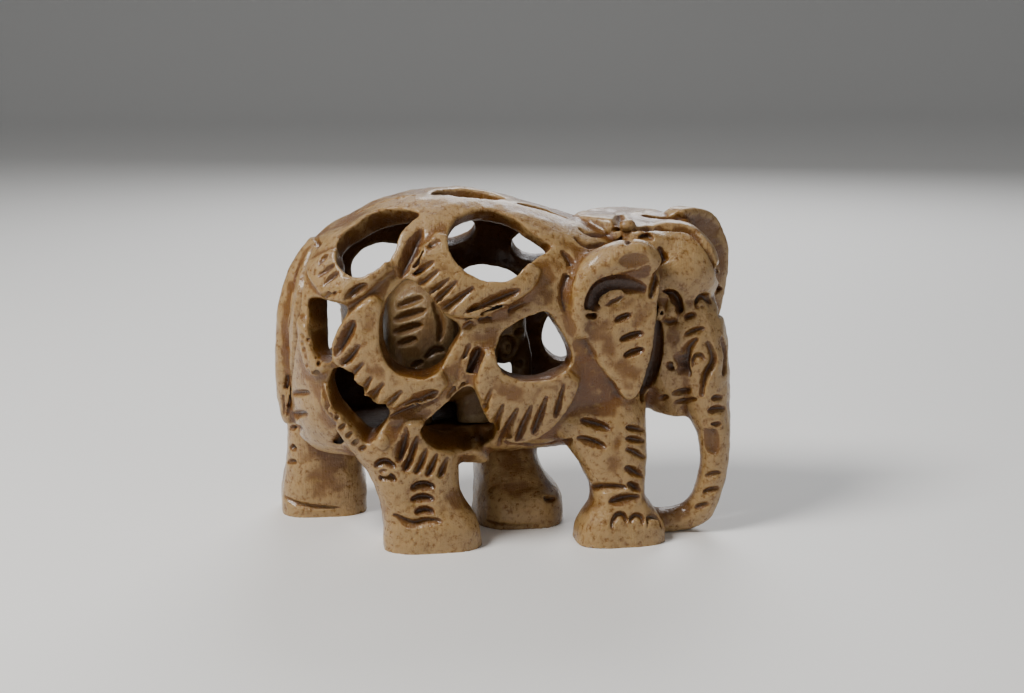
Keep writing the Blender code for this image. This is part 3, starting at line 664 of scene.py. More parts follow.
strokes = {
    "flankPetal": (
        (2.1, 1.1, 354, 319, 344, 337, 333, 358), (1.5, 0.9, 360, 344, 345, 361),
        (1.4, 0.9, 364, 362, 349, 375), (1.5, 1, 372, 376, 357, 394), (1.5, 1, 384, 382, 367, 401),
        (1.6, 1, 402, 390, 385, 406), (2.2, 1.2, 441, 391, 420, 399, 393, 412),
    ),
    "backPetal": (
        (1.2, 0.7, 441, 240, 424, 246), (1.5, 1, 435, 260, 416, 270), (1.4, 0.9, 440, 269, 417, 284),
        (1.3, 0.8, 451, 277, 427, 294), (1.4, 0.9, 458, 280, 434, 300), (1.7, 1, 475, 286, 440, 310),
        (1.8, 1, 522, 289, 492, 300, 461, 318), (2.3, 1.3, 511, 306, 488, 313, 463, 320),
        (2.2, 1.2, 422, 227, 410, 250, 399, 280), (1, 0.7, 432, 234, 419, 256, 411, 275),
    ),
    "rumpPetal": (
        (0.9, 0.5, 318, 266, 325, 257), (1, 0.6, 318, 277, 331, 267), (1, 0.6, 323, 286, 335, 275),
        (1.1, 0.7, 330, 293, 342, 281), (2, 1.1, 343, 303, 356, 293, 370, 284),
        (1, 0.7, 314, 237, 318, 245),
    ),
    "thighPetal": (
        (1, 0.6, 301, 344, 310, 339), (1, 0.6, 302, 351, 312, 345), (1, 0.6, 304, 358, 315, 351),
        (1.1, 0.7, 305, 367, 317, 358), (1.1, 0.7, 307, 375, 318, 364),
    ),
    "hockBorder": (
        (0.9, 0.6, 328, 412, 335, 408), (0.9, 0.6, 333, 421, 341, 416), (0.9, 0.6, 339, 430, 347, 424),
        (0.9, 0.6, 346, 438, 354, 432), (0.9, 0.6, 352, 445, 360, 440), (0.9, 0.6, 359, 451, 367, 446),
    ),
    "bellyPetal": (
        (2.1, 1.1, 406, 425, 400, 454), (1.7, 1, 418, 435, 407, 463), (1.5, 0.9, 427, 447, 418, 468),
        (1.4, 0.9, 438, 452, 429, 471), (1.3, 0.8, 448, 456, 441, 473),
    ),
    "shoulderPetal": (
        (1.2, 0.8, 564, 383, 557, 410), (1.5, 0.9, 547, 395, 536, 425), (1.5, 1, 532, 404, 520, 433),
        (1.6, 1, 518, 407, 503, 436), (1.4, 0.9, 504, 403, 494, 424), (1.1, 0.7, 492, 388, 484, 405),
        (2.3, 1.2, 480, 346, 470, 364, 461, 383),
    ),
    "neck": (
        (1.2, 0.7, 578, 227, 590, 235, 614, 234), (1.2, 0.7, 573, 236, 588, 247, 608, 243),
        (1.6, 1, 616, 226, 615, 240),
    ),
    "tailLine": (
        (1.8, 1.2, 316, 241, 307, 256, 302, 272, 299, 292, 297, 312, 294, 340, 291, 370, 288, 400, 286, 424),
        (1, 0.6, 300, 262, 294, 285, 290, 315, 287, 350), (1, 0.6, 288, 372, 285, 395, 283, 418),
    ),
    "ear": (
        (4.4, 1.6, 590, 315, 591, 304, 597, 295, 608, 288, 625, 285, 648, 290),
        (1.2, 1.2, 584, 312, 597, 318), (1.2, 0.9, 614, 322, 632, 315), (1.3, 1, 619, 341, 644, 333),
        (1.2, 0.9, 623, 357, 645, 349), (3, 1.8, 657, 318, 656, 340, 652, 365, 647, 385, 641, 402),
        (1.8, 1.2, 658, 246, 663, 260, 659, 274, 653, 286, 650, 300),
        (1.4, 0.9, 628, 240, 640, 235, 655, 240),
    ),
    "crown": (
        (2, 1.5, 627, 245, 633, 236, 646, 229, 665, 227, 686, 228, 699, 237, 711, 254, 717, 272, 717, 290),
        (1.6, 1.1, 716, 262, 720, 290, 718, 318), (1.8, 1.2, 619, 214, 619, 228),
        (1.2, 0.7, 640, 216, 665, 218, 690, 219),
    ),
    "back": (
        (2, 1.2, 516, 203, 540, 208, 572, 219), (1.5, 0.8, 352, 216, 385, 201, 425, 194),
        (1.2, 0.6, 300, 330, 314, 366, 330, 420, 352, 460, 380, 500),
        (1.2, 0.6, 560, 250, 570, 262, 572, 280),
    ),
    "face": (
        (1.9, 1.4, 658, 316, 660, 303, 668, 296, 677, 301, 680, 314),
        (1, 0.6, 662, 320, 670, 324, 678, 320), (1.5, 1.1, 697, 309, 700, 301, 707, 298, 713, 304),
        (1.2, 0.9, 684, 319, 697, 314), (1.3, 0.9, 684, 336, 706, 328),
        (1.9, 1.1, 699, 337, 689, 345, 684, 356, 684, 367, 691, 377),
        (1.7, 1.1, 706, 341, 712, 352, 713, 362, 706, 374, 702, 386, 701, 398),
        (1.1, 0.8, 693, 369, 694, 359, 700, 356, 705, 361),
        (1.7, 1.1, 721, 336, 725, 348, 726, 362, 723, 377), (1, 0.6, 659, 400, 669, 396),
        (1.1, 0.7, 671, 395, 691, 390), (1, 0.6, 673, 404, 698, 399), (1.1, 0.7, 711, 399, 723, 398),
        (1.4, 0.8, 707, 412, 726, 409), (1, 0.6, 706, 428, 722, 424), (1.2, 0.7, 704, 477, 722, 473),
        (1.2, 0.7, 702, 494, 720, 488), (1.1, 0.6, 694, 509, 710, 504),
    ),
    "nearForeLeg": (
        (1.6, 1, 579, 420, 611, 430), (1.6, 1, 575, 438, 607, 448), (1.2, 0.9, 625, 428, 648, 431),
        (1.2, 0.9, 625, 439, 648, 442), (1.2, 0.9, 625, 449, 646, 458), (1.4, 1, 624, 467, 647, 479),
        (1.4, 1, 626, 483, 649, 496), (1.4, 0.9, 591, 488, 629, 488), (1.7, 1, 608, 503, 641, 497),
        (1.1, 0.8, 612, 530, 614, 520, 620, 515, 626, 519, 628, 530),
        (1.1, 0.8, 629, 531, 631, 520, 637, 516, 643, 520, 644, 530),
        (1.1, 0.8, 646, 530, 648, 520, 654, 516, 660, 520, 661, 529),
    ),
    "strands": (
        (1.3, 0.6, 441, 346, 462, 331, 486, 314), (1.3, 0.6, 470, 322, 500, 316, 531, 300),
        (1.3, 0.6, 456, 392, 464, 366, 471, 342), (1.1, 0.5, 322, 300, 336, 290, 350, 270),
        (1.4, 0.7, 384, 421, 412, 410, 440, 398), (1.4, 0.7, 446, 400, 462, 384, 478, 374),
        (1.2, 0.5, 575, 262, 560, 290, 566, 315), (1.3, 0.6, 500, 440, 540, 448, 575, 438),
    ),
    "nearHindLeg": (
        (1.6, 1, 374, 468, 384, 463, 397, 469), (1.5, 0.9, 379, 481, 387, 477, 397, 483),
        (1.6, 1, 410, 490, 422, 486, 436, 488), (1.4, 0.9, 410, 501, 422, 498, 435, 500),
        (1.4, 0.9, 414, 514, 424, 511, 435, 513),
        (1.5, 0.9, 392, 514, 402, 521, 414, 525, 427, 521, 443, 522),
    ),
    "farHindLeg": (
        (1.1, 0.7, 292, 394, 310, 393), (1.2, 0.8, 290, 415, 308, 414), (1.2, 0.8, 289, 429, 303, 428),
        (1.2, 0.8, 281, 449, 297, 448), (1, 0.6, 283, 463, 297, 462),
        (1, 0.6, 281, 492, 293, 503, 316, 508, 343, 508),
    ),
    "farForeLeg": (
        (0.9, 0.5, 485, 520, 500, 526, 520, 528, 545, 524), (1.2, 0.8, 543, 497, 550, 500, 556, 498),
    ),
}

# Hollows pressed into the near side: pixel, half length, half height and depth in mm, and tilt
scoops = (
    (636, 261, 3, 1.7, 0.7, -6), (611, 298, 2.3, 1.2, 0.6, 20), (617, 237, 1, 1, 1, 0),
    (664, 302, 1.1, 1.5, 1.3, 10), (703, 304, 1, 0.8, 1, 20), (672, 366, 0.9, 0.8, 0.7, 0),
    (712, 440, 1.6, 2.6, 0.6, 10), (384, 473, 1, 0.8, 0.5, 0),
)
# Small lumps left standing: pixel, and half sizes
lumps = (
    (627, 225, 1.4, 1.3, 1), (671, 311, 1.1, 1.8, 0.9), (382, 442, 1, 1.1, 0.7), (659, 312, 0.9, 1.5, 0.9),
)


knife = {
    "roundFrom": 2.6,  # a stroke this wide is round, a narrower one is V-shaped
    "halfWidth": 0.62,  # of a V-shaped cut by its stroke's width, and its depth by its stroke's depth
    "depth": 1.35,
    "swell": (0.04, 0.92),  # the part of a wave that a stroke's size follows
    "leastSwell": 0.1,
    "fullness": 0.6,
    "pastEdge": 0.35,  # how far a petal's stroke runs on past the edge, and how late it swells
    "late": 1.5,
}


def strokeLine(surface, numbers, width, depth, skew=1.0):
    pixels = smoothRows(pairs(numbers), 3 if len(numbers) > 4 else 6)
    places, ways = seenPoints(surface, pixels)
    if len(places) < 3:
        return None
    return strokeThrough(places, ways, width, depth, skew)


def strokeThrough(places, ways, width, depth, skew=1.0):
    # a narrow stroke is a V-shaped gouge, a broad one is round
    last = len(places) - 1
    radius = (width**2 / 4 + depth**2) / (2 * depth)
    start, span = knife["swell"]
    line = []
    for i in range(last + 1):
        near = (places[max(i - 1, 0)] + places[i] * 2 + places[min(i + 1, last)]) / 4
        way = (ways[max(i - 1, 0)] + ways[i] + ways[min(i + 1, last)]).normalized()
        wave = math.sin(math.pi * (start + span * (i / last) ** skew))
        swell = max(wave, knife["leastSwell"]) ** knife["fullness"]
        if width < knife["roundFrom"]:
            half, deep = width * knife["halfWidth"] * swell * mm, depth * knife["depth"] * swell * mm
            line.append((near, way, half, deep))
        else:
            line.append((near + way * (radius - depth) * swell * mm, radius * swell * mm))
    return line


def strokeTools(name, lines):
    broad = [line for line in lines if len(line[0]) == 2]
    narrow = [line for line in lines if len(line[0]) == 4]
    return [make(name, kept) for make, kept in ((bars, broad), (gouges, narrow)) if kept]


def longer(numbers, share):
    # a straight stroke run on past its end by a share of its length
    x0, y0, x1, y1 = numbers
    return x0, y0, x1 + (x1 - x0) * share, y1 + (y1 - y0) * share


def nearStrokes(surface):
    lines = []
    for name, rows in strokes.items():
        for width, depth, *numbers in rows:
            atEdge = len(numbers) == 4 and name.endswith("Petal")
            if atEdge:
                numbers = longer(numbers, knife["pastEdge"])
            line = strokeLine(surface, numbers, width, depth, knife["late"] if atEdge else 1.0)
            if line:
                lines.append(line)
    return lines


# The far side, as seen straight from the side: rows of strokes from one middle to another,
# how many, their length, tilt, width and depth
farRows = (
    ((-31.6, 15.5), (-31.8, 5.5), 5, 4.4, 0, 1.4, 0.9), ((0, 14.5), (0.6, 5.5), 5, 4.4, 0, 1.4, 0.9),
    ((-9, 31.5), (-4, 27), 4, 4, 60, 1.4, 0.9), ((8, 40), (13, 36), 4, 4, 40, 1.4, 0.9),
    ((-26.0, 48.0), (-20.0, 51.5), 4, 3.6, 110, 1.4, 0.9), ((-27.0, 24.0),
    (-24.0, 19.0), 4, 3.6, 20, 1.3, 0.8),
    ((19, 39), (21, 30), 4, 3.6, -14, 1.3, 0.9), ((26.5, 22), (28, 10), 4, 2.6, -8, 1.1, 0.7),
    ((15, 14), (15.5, 6.5), 4, 4, 6, 1.3, 0.8),
)

farKnife = {
    "along": (-0.5, -0.35, -0.2, -0.05, 0.1, 0.25, 0.4, 0.5),  # where a stroke's points lie
    "slant": 24,  # how a petal's strokes lean, in degrees
    "middle": 0.85,  # where they lie across the petal, and how long they are
    "length": 0.8,
    "size": (1.7, 1.1, 1.4),  # width, depth and how late they swell
}


def directionAt(degrees):
    turn = math.radians(degrees)
    return Vector((math.cos(turn), 0, math.sin(turn)))


def farStrokes(surface):
    lines = []

    def cut(middle, direction, length, width, depth, skew=1.0):
        places, ways = [], []
        for share in farKnife["along"]:
            at = middle + direction * length * share
            place, way = sidePoint(surface, at.x, at.z)
            if place:
                places.append(place)
                ways.append(way)
        if len(places) > 3:
            lines.append(strokeThrough(places, ways, width, depth, skew))

    for window in farWindows.values():
        petal = window[5]
        if petal:
            for i in range(petal[3]):
                angle, edge = petalEdge(window, petal, (i + 0.5) / petal[3])
                rim = windowReach(angle, window)
                reach = rim + farKnife["middle"] * (edge - rim)
                middle = Vector((window[0], 0, window[1])) + directionAt(angle) * reach
                length = farKnife["length"] * (edge - rim)
                cut(middle, directionAt(angle - farKnife["slant"]), length, *farKnife["size"])
    for first, last, count, length, tilt, width, depth in farRows:
        for i in range(count):
            x, z = (a + (b - a) * i / (count - 1) for a, b in zip(first, last))
            cut(Vector((x, 0, z)), directionAt(tilt), length, width, depth)
    return lines


def pixelBalls(surface, rows):
    made = []
    for x, y, halfLength, halfHeight, depth, *tilt in rows:
        places, ways = seenPoints(surface, [(x, y)])
        if not places:
            continue
        along, up = tangents(ways[0])
        turn = math.radians(tilt[0] if tilt else 0)
        first = along * math.cos(turn) + up * math.sin(turn)
        second = up * math.cos(turn) - along * math.sin(turn)
        axes = (first * halfLength * mm, second * halfHeight * mm, ways[0] * depth * mm)
        made.append(orientedBall("dab", places[0], axes))
    return made


def bigElephant():
    forms = [bodyForm("body", -body["strandDrop"], body["corner"])]
    for name in ("nearHind", "nearFore", "farHind", "farFore"):
        forms.append(stackForm(name, legs[name], "Z", legs["corner"]))
    forms.append(flatBar("tail", tail, (0, 1, 0)))
    forms.extend(headForms())
    rough = bodyForm("rough", 0.0, body["corner"])
    plain = surfaceOf(rough)
    forms.extend(petalForms(plain))
    bpy.data.objects.remove(rough)
    item = reworked(joined(forms, "bigElephant"), *body["roughedOut"])
    roughened(item, *body["wander"])
    print("big elephant roughed out:", len(item.data.polygons), "faces")
    uncut = surfaceOf(item)
    tools = [bodyForm("hollow", -body["wall"], body["hollowCorner"], body["hollowFrom"], body["hollowTo"])]
    cutFlat(tools[0], (0, 0, body["hollowFloor"] * mm), (0, 0, 1))
    tools.extend(windowTools(uncut, plain))
    for tool in tools:
        combined(item, tool)
    reworked(item, *body["withWindows"])
    roughened(item, *body["toolMarks"])
    print("windows cut:", len(item.data.polygons), "faces")
    combined(item, joined(pixelBalls(uncut, lumps), "lumps"), "UNION")
    cutters = strokeTools("strokes", nearStrokes(uncut) + farStrokes(uncut))
    cutters.extend(pixelBalls(uncut, scoops))
    combined(item, joined(cutters, "cutters"))
    print("strokes cut:", len(item.data.polygons), "faces")
    reworked(item, *body["workedOver"])
    print("stone worked over:", len(item.data.polygons), "faces")
    return item, uncut


def largestBit(item):
    # crumbs left by the cuts are thrown away
    only(item)
    bpy.ops.mesh.separate(type="LOOSE")
    bits = sorted(bpy.context.selected_objects, key=lambda bit: len(bit.data.vertices))
    for bit in bits[:-1]:
        bpy.data.objects.remove(bit)
    return bits[-1]


def thinned(item, triangles):
    count = sum(len(face.vertices) - 2 for face in item.data.polygons)
    if count > triangles:
        applied(item, "DECIMATE", ratio=triangles / count, use_collapse_triangulate=True)


def vertexPlaces(mesh):
    places = np.empty(len(mesh.vertices) * 3, np.float32)
    mesh.vertices.foreach_get("co", places)
    return places.reshape(-1, 3)


shadeAndWearSpans = {"hollowness": 1, "shelter": 7}  # how many times the rounds of smoothing each takes


def markShadeAndWear(item, uncut, rounds):
    # how deep each point lies under the uncut form, and how hollow or edged the stone is there; the colour
    # paints shade, highlight and wear from these
    mesh = item.data
    count = len(mesh.vertices)
    places = vertexPlaces(mesh).astype(float)
    normals = np.empty(count * 3, np.float32)
    mesh.vertex_normals.foreach_get("vector", normals)
    normals = normals.reshape(-1, 3)
    edges = np.empty(len(mesh.edges) * 2, np.int32)
    mesh.edges.foreach_get("vertices", edges)
    a, b = edges[::2], edges[1::2]
    neighbours = np.maximum(np.bincount(a, minlength=count) + np.bincount(b, minlength=count), 1)
    soft = places.copy()
    marks = {}
    for name, times in shadeAndWearSpans.items():
        for _ in range(rounds * times):
            total = [np.bincount(a, way[b], count) + np.bincount(b, way[a], count) for way in soft.T]
            soft = np.stack(total, 1) / neighbours[:, None]
        marks[name] = ((soft - places) * normals).sum(1) / mm
    marks["depth"] = np.array([uncut.find_nearest(Vector(place))[3] for place in places]) / mm
    # how much the stone faces up, for the painted top light
    marks["upward"] = normals[:, 2]
    for name, values in marks.items():
        layer = mesh.attributes.new(name, "FLOAT", "POINT")
        layer.data.foreach_set("value", values.astype(np.float32))


keptFree = 0.02  # mm between the stone and the CAD box, which tool marks don't pass


def finished(item, name):
    item.data.transform(Matrix.Translation(Vector(photo["seat"]) * mm))
    low = np.array(cadBox[0]) + keptFree * mm * np.array((1, 1, 0))
    high = np.array(cadBox[1]) - keptFree * mm
    kept = np.clip(vertexPlaces(item.data), low, high)
    item.data.vertices.foreach_set("co", kept.astype(np.float32).ravel())
    item.data.update()
    item.name = name
    item.data.name = name
    only(item)
    bpy.ops.object.shade_smooth()
    return item


def carved(item, uncut, values, foot, name):
    item = largestBit(item)
    cutFlat(item, (0, 0, foot * mm), (0, 0, 1))
    thinned(item, values["triangles"])
    markShadeAndWear(item, uncut, values["shadeAndWearRounds"])
    finished(item, name)
    print(name, "finished:", len(item.data.polygons), "faces")
    return item


elephant = carved(*bigElephant(), body, 0.0, "elephant_carving")

# The little elephant in the hollow, in mm, its feet at height 0
little = {
    "at": (-9.6, 0.0, 18.2),
    "corner": 0.7,
    "toolMarks": (0.2, 1.6, 3),
    "roughedOut": (0.3, 3),
    "workedOver": (0.22, 1),
    "triangles": 60000,
    "shadeAndWearRounds": 10,
    "body": (
        (-12, 0, 12, 4.2, 4.6), (-10.8, 0, 12.6, 6.8, 8.8), (-7, 0, 13.4, 8.6, 10.6), (-2, 0, 13, 8.8, 10),
        (3, 0, 12.4, 7.8, 8.8), (6.5, 0, 12.4, 5.6, 6.4),
    ),
    "hind": ((-1.0, -7.6, 3.4, 3.2, 2.3), (3.0, -7.2, 3.6, 3.2, 2.6), (6.0, -7.2, 3.8, 3.6, 3.2)),
    "fore": ((-1.0, 3.0, 3.3, 3.0, 2.2), (3.0, 2.8, 3.5, 3.0, 2.5), (6.0, 2.6, 3.6, 3.4, 3.0)),
    "head": (8.0, 0.0, 15.2, 3.9, 5.4, 6.6),
    "ear": (4.6, 5.4, 14.8, 1.8, 1.8, 6.0),
    "trunk": (
        (9.4, 0, 15, 2.6, 2.4), (11, 0, 10, 2, 1.9), (11.2, 0, 5, 1.8, 1.7), (10.4, 0, 1.4, 1.7, 1.6),
    ),
    "strokes": (
        (1.5, 1, 394, 308, 425, 297), (1.5, 1, 392, 321, 428, 310), (1.5, 1, 392, 334, 424, 325),
        (1.3, 0.8, 396, 346, 418, 339), (1.3, 0.8, 424, 360, 436, 350, 446, 352),
        (1.2, 0.7, 410, 368, 424, 362), (1.4, 0.7, 432, 300, 441, 322, 438, 344),
        (1, 0.6, 452, 310, 458, 330, 452, 352),
        (1.2, 0.8, 500, 348, 502, 341, 508, 339, 514, 344, 514, 352, 508, 357, 502, 354),
        (1.2, 0.6, 506, 348, 510, 348), (1.2, 0.8, 514, 366, 524, 363), (1.2, 0.8, 514, 334, 524, 331),
        (1.4, 0.9, 440, 432, 462, 438, 482, 432),
    ),
}


def littleElephant():
    forms = [stackForm("littleBody", little["body"], "X", little["corner"])]
    for side in (-1, 1):
        for name in ("hind", "fore"):
            rows = [(z, x, y * side, a, b) for z, x, y, a, b in little[name]]
            forms.append(stackForm("littleLeg", rows, "Z", little["corner"]))
        x, y, z, *sizes = little["ear"]
        forms.append(ball("littleEar", (x, y * side, z), sizes))
    forms.append(ball("littleHead", little["head"][:3], little["head"][3:]))
    forms.append(flatBar("littleTrunk", little["trunk"], (0, 1, 0)))
    item = joined(forms, "littleElephant")
    item.data.transform(Matrix.Translation(Vector(little["at"]) * mm))
    reworked(item, *little["roughedOut"])
    plain = surfaceOf(item)
    lines = [strokeLine(plain, numbers, width, depth) for width, depth, *numbers in little["strokes"]]
    roughened(item, *little["toolMarks"])
    for tool in strokeTools("littleStrokes", [line for line in lines if line]):
        combined(item, tool)
    reworked(item, *little["workedOver"])
    return item, plain


smallOne = carved(*littleElephant(), little, little["at"][2], "little_elephant_carving")


# Stone

class Wire:  # a socket that takes part in Python expressions
    def __init__(self, socket, tree):
        self.socket = socket
        self.tree = tree

    def node(self, kind, settings, values, out=0):
        made = self.tree.nodes.new(kind)
        for name, value in settings.items():
            setattr(made, name, value)
        for name, value in values.items():
            if isinstance(value, Wire):
                self.tree.links.new(value.socket, made.inputs[name])
            else:
                made.inputs[name].default_value = value
        return Wire(made.outputs[out], self.tree)

    def maths(self, operation, a, b):
        return self.node("ShaderNodeMath", {"operation": operation}, {0: a, 1: b})

    def __add__(self, other): return self.maths("ADD", self, other)
    def __radd__(self, other): return self.maths("ADD", other, self)
    def __sub__(self, other): return self.maths("SUBTRACT", self, other)
    def __rsub__(self, other): return self.maths("SUBTRACT", other, self)
    def __mul__(self, other): return self.maths("MULTIPLY", self, other)

    def span(self, low, high):  # 0 at low, 1 at high, held between
        return self.node("ShaderNodeMapRange", {"interpolation_type": "SMOOTHSTEP"},
                         {"Value": self, "From Min": low, "From Max": high})

    def tint(self, under, over):  # this mask mixes two colours
        return self.node("ShaderNodeMix", {"data_type": "RGBA"}, {0: self, 6: under, 7: over}, 2)

    def noise(self, scale, detail=3.0, rough=0.5, warp=0.0):
        return self.node("ShaderNodeTexNoise", {}, {"Vector": self, "Scale": scale, "Detail": detail,
                                                    "Roughness": rough, "Distortion": warp})

    def stretched(self, turn, sizes):
        return self.node("ShaderNodeMapping", {}, {"Vector": self, "Rotation": turn, "Scale": sizes})


def colour(red, green, blue):
    return (red, green, blue, 1.0)


goldenStone = {
    # the dusty tan of the stone, laid on what faces up and out as painted top light
    "litDust": colour(0.165, 0.067, 0.006),
    "pink": colour(0.125, 0.044, 0.003),
    "cream": colour(0.24, 0.140, 0.030),
    # the stone's own tone in mottles, also painted shade and glow where sheltered and on window walls
    "honey": colour(0.115, 0.037, 0.0012),
    # painted shade in the cuts
    "grooveShade": colour(0.030, 0.007, 0.0006),
    # painted shade inside the hollow
    "deep": colour(0.045, 0.013, 0.0007),
    # pale tone of scratches and wear, also the painted highlight on standing edges
    "edge": colour(0.42, 0.27, 0.11),
    "roughness": 0.34,
    "specular": 0.45,
    "coat": 0.35,
    "glow": 0.08,
}
oliveStone = {
    # the dusty tan of the stone, laid on what faces up and out as painted top light
    "litDust": colour(0.190, 0.100, 0.028),
    "pink": colour(0.150, 0.070, 0.020),
    "cream": colour(0.26, 0.175, 0.065),
    # the stone's own tone in mottles, also painted shade and glow where sheltered and on window walls
    "honey": colour(0.145, 0.060, 0.008),
    # painted shade in the cuts
    "grooveShade": colour(0.035, 0.011, 0.002),
    # painted shade inside the hollow
    "deep": colour(0.08, 0.034, 0.006),
    # pale tone of scratches and wear, also the painted highlight on standing edges
    "edge": colour(0.36, 0.25, 0.12),
    "roughness": 0.42,
    "specular": 0.5,
    "coat": 0.15,
    "glow": 0.05,
}
bothStones = {
    "clouds": (130, 4, 0.55, 0.4),  # noises: scale, detail, roughness and warp
    "veins": (190, 5, 0.62, 1.4),
    "mottle": (1100, 4, 0.68),
    "grit": (3600, 2, 0.6),
    "scratch": (420, 3, 0.6),
    "crossed": (380, 3, 0.6),
    "reliefStrength": 0.8,
    "reliefDepth": 0.25,  # mm
    "coatRoughness": 0.16,
    "glowReach": (1.0, 0.45, 0.15),
    "glowDepth": 1.6,  # mm
}


def stoneMaterial(name, stone):
    material = bpy.data.materials.new(name)
    material.use_nodes = True
    tree = material.node_tree
    shader = tree.nodes["Principled BSDF"]
    start = Wire(None, tree)
    place = start.node("ShaderNodeTexCoord", {}, {}, 3)
    hollowness, shelter, depth, upward = (
        start.node("ShaderNodeAttribute", {"attribute_name": kind}, {}, 2)
        for kind in ("hollowness", "shelter", "depth", "upward")
    )

    clouds = place.noise(*bothStones["clouds"])
    veins = place.stretched((0.3, 0.5, 0.2), (1, 1, 2.4)).noise(*bothStones["veins"])
    mottle = place.noise(*bothStones["mottle"])
    grit = place.noise(*bothStones["grit"])
    scratch = place.stretched((0.2, 0.9, 0.5), (1, 16, 1)).noise(*bothStones["scratch"])
    crossed = place.stretched((0.9, 0.2, 1.2), (14, 1, 1)).noise(*bothStones["crossed"])

    # painted light and shade: what faces up and out gets the light dust tone as painted top light, and
    # sheltered places get the darker honey as painted shade; clouds and mottle vary it at random
    dustAndToplight = (upward * 0.22 + clouds + mottle * 0.22 - shelter * 0.5).span(0.38, 0.9)
    # painted shade and painted glow: the walls of the windows and cuts are painted saturated honey
    wall = depth.span(0.6, 2.4)
    # partly wear, partly painted highlight: edges that stand out are painted the pale edge tone, less on the
    # window walls
    wornAndHighlit = (0.0 - hollowness).span(0.03, 0.17) * (1 - wall * 0.6) * mottle.span(0.3, 0.55)
    base = dustAndToplight.tint(stone["honey"], stone["litDust"])
    for mask, share, tone in (
        (clouds.span(0.45, 0.75), 0.5, "pink"),
        (veins.span(0.55, 0.7), 0.65, "cream"),
        (mottle.span(0.5, 0.75), 0.35, "honey"),
        (scratch.span(0.56, 0.75), 0.25, "edge"),
        (crossed.span(0.58, 0.75), 0.2, "edge"),
        # painted shade and glow on the window walls, then painted shade deep inside the hollow
        (wall, 0.85, "honey"),
        (depth.span(3.4, 6.5), 0.9, "deep"),
        # painted shade: sheltered places, found by wide smoothing, are painted honey
        (shelter.span(0.1, 0.9), 0.5, "honey"),
        # painted shade: grooves and hollow places are painted the dark groove tone
        (hollowness.span(0.08, 0.42), 0.6 + mottle * 0.4, "grooveShade"),
        (wornAndHighlit, 0.75, "edge"),
        (grit.span(0.66, 0.78), 0.5, "edge"),
    ):
        base = (mask * share).tint(base, stone[tone])
    tree.links.new(base.socket, shader.inputs["Base Color"])

    roughness = stone["roughness"] + (mottle - 0.5) * 0.5 + (scratch - 0.5) * 0.3
    roughness = roughness + depth.span(3.0, 6.0) * 0.35
    tree.links.new(roughness.socket, shader.inputs["Roughness"])
    relief = scratch * 0.6 + crossed * 0.5 + grit * 0.25 + mottle * 1.2
    bump = relief.node("ShaderNodeBump", {}, {
        "Height": relief, "Strength": bothStones["reliefStrength"],
        "Distance": bothStones["reliefDepth"] * mm,
    })
    tree.links.new(bump.socket, shader.inputs["Normal"])
    for socket, value in (
        ("Specular IOR Level", stone["specular"]),
        ("Coat Weight", stone["coat"]),
        ("Coat Roughness", bothStones["coatRoughness"]),
        ("Subsurface Weight", stone["glow"]),
        ("Subsurface Radius", bothStones["glowReach"]),
        ("Subsurface Scale", bothStones["glowDepth"] * mm),
    ):
        shader.inputs[socket].default_value = value
    return material


stones = ((elephant, "goldenSoapstone", goldenStone), (smallOne, "oliveSoapstone", oliveStone))
for item, name, stone in stones:
    item.data.materials.clear()
    item.data.materials.append(stoneMaterial(name, stone))
print("stone finished")

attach(elephant, "root")
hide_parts("outer_elephant")
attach(smallOne, "root")
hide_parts("inner_elephant")

# Floor, light and camera

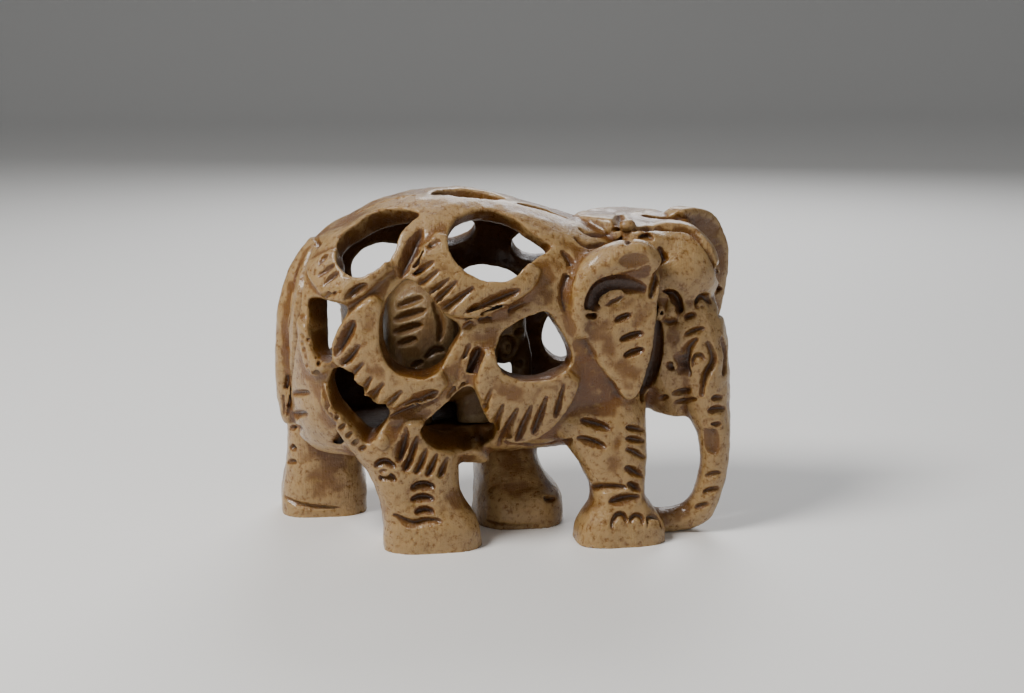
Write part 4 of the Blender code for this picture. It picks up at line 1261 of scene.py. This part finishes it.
studio = {
    "floor": colour(0.88, 0.87, 0.85),
    "floorRoughness": 0.6,
    "floorSize": 2.4,
    "floorMiddle": (0, 0.4, 0),
    "wallHeight": 1.4,
    "sweep": 0.5,  # radius of the bend from the floor up to the wall
    "sky": colour(0.86, 0.88, 0.90),
    "skyStrength": 0.17,
    "lights": (  # name, place, size, power, colour
        ("windowLight", (-0.32, -0.14, 0.42), 0.20, 3.2, (1.0, 0.98, 0.95)),
        ("fillLight", (0.38, -0.40, 0.22), 0.40, 0.35, (1.0, 0.97, 0.93)),
        ("backLight", (0.12, 0.42, 0.34), 0.35, 1.6, (0.97, 0.98, 1.0)),
    ),
    "aim": (0, 0, 0.03),
    "sensor": 36.0,
    "nearClip": 0.01,
}

bpy.ops.mesh.primitive_plane_add(size=studio["floorSize"], location=studio["floorMiddle"])
floor = bpy.context.object
floor.name = "floor"
bpy.ops.object.transform_apply(location=True)
bpy.ops.object.mode_set(mode="EDIT")
bpy.ops.mesh.select_mode(type="EDGE")
bpy.ops.mesh.select_all(action="DESELECT")
bpy.ops.object.mode_set(mode="OBJECT")
for edge in floor.data.edges:
    edge.select = all(floor.data.vertices[v].co.y > studio["floorMiddle"][1] for v in edge.vertices)
bpy.ops.object.mode_set(mode="EDIT")
bpy.ops.mesh.extrude_region_move(TRANSFORM_OT_translate={"value": (0, 0, studio["wallHeight"])})
bpy.ops.object.mode_set(mode="OBJECT")
applied(floor, "BEVEL", width=studio["sweep"], segments=16)
bpy.ops.object.shade_smooth()
paint = bpy.data.materials.new("paleFloor")
paint.use_nodes = True
shader = paint.node_tree.nodes["Principled BSDF"]
shader.inputs["Base Color"].default_value = studio["floor"]
shader.inputs["Roughness"].default_value = studio["floorRoughness"]
floor.data.materials.append(paint)

world = bpy.data.worlds.new("paleRoom")
bpy.context.scene.world = world
world.use_nodes = True
sky = world.node_tree.nodes["Background"]
sky.inputs["Color"].default_value = studio["sky"]
sky.inputs["Strength"].default_value = studio["skyStrength"]

for name, place, size, power, tone in studio["lights"]:
    bpy.ops.object.light_add(type="AREA", location=place)
    light = bpy.context.object
    light.name = name
    light.data.shape = "DISK"
    light.data.size = size
    light.data.energy = power
    light.data.color = tone
    light.rotation_euler = (Vector(studio["aim"]) - light.location).to_track_quat("-Z", "Y").to_euler()

bpy.ops.object.camera_add(location=photoEye() + Vector(photo["seat"]) * mm)
camera = bpy.context.object
camera.rotation_euler = (-photoAxes()[2]).to_track_quat("-Z", "Y").to_euler()
camera.data.sensor_width = studio["sensor"]
camera.data.lens = studio["sensor"] * photo["focalPixels"] / photo["width"]
camera.data.clip_start = studio["nearClip"]
bpy.context.scene.camera = camera
print("studio ready")
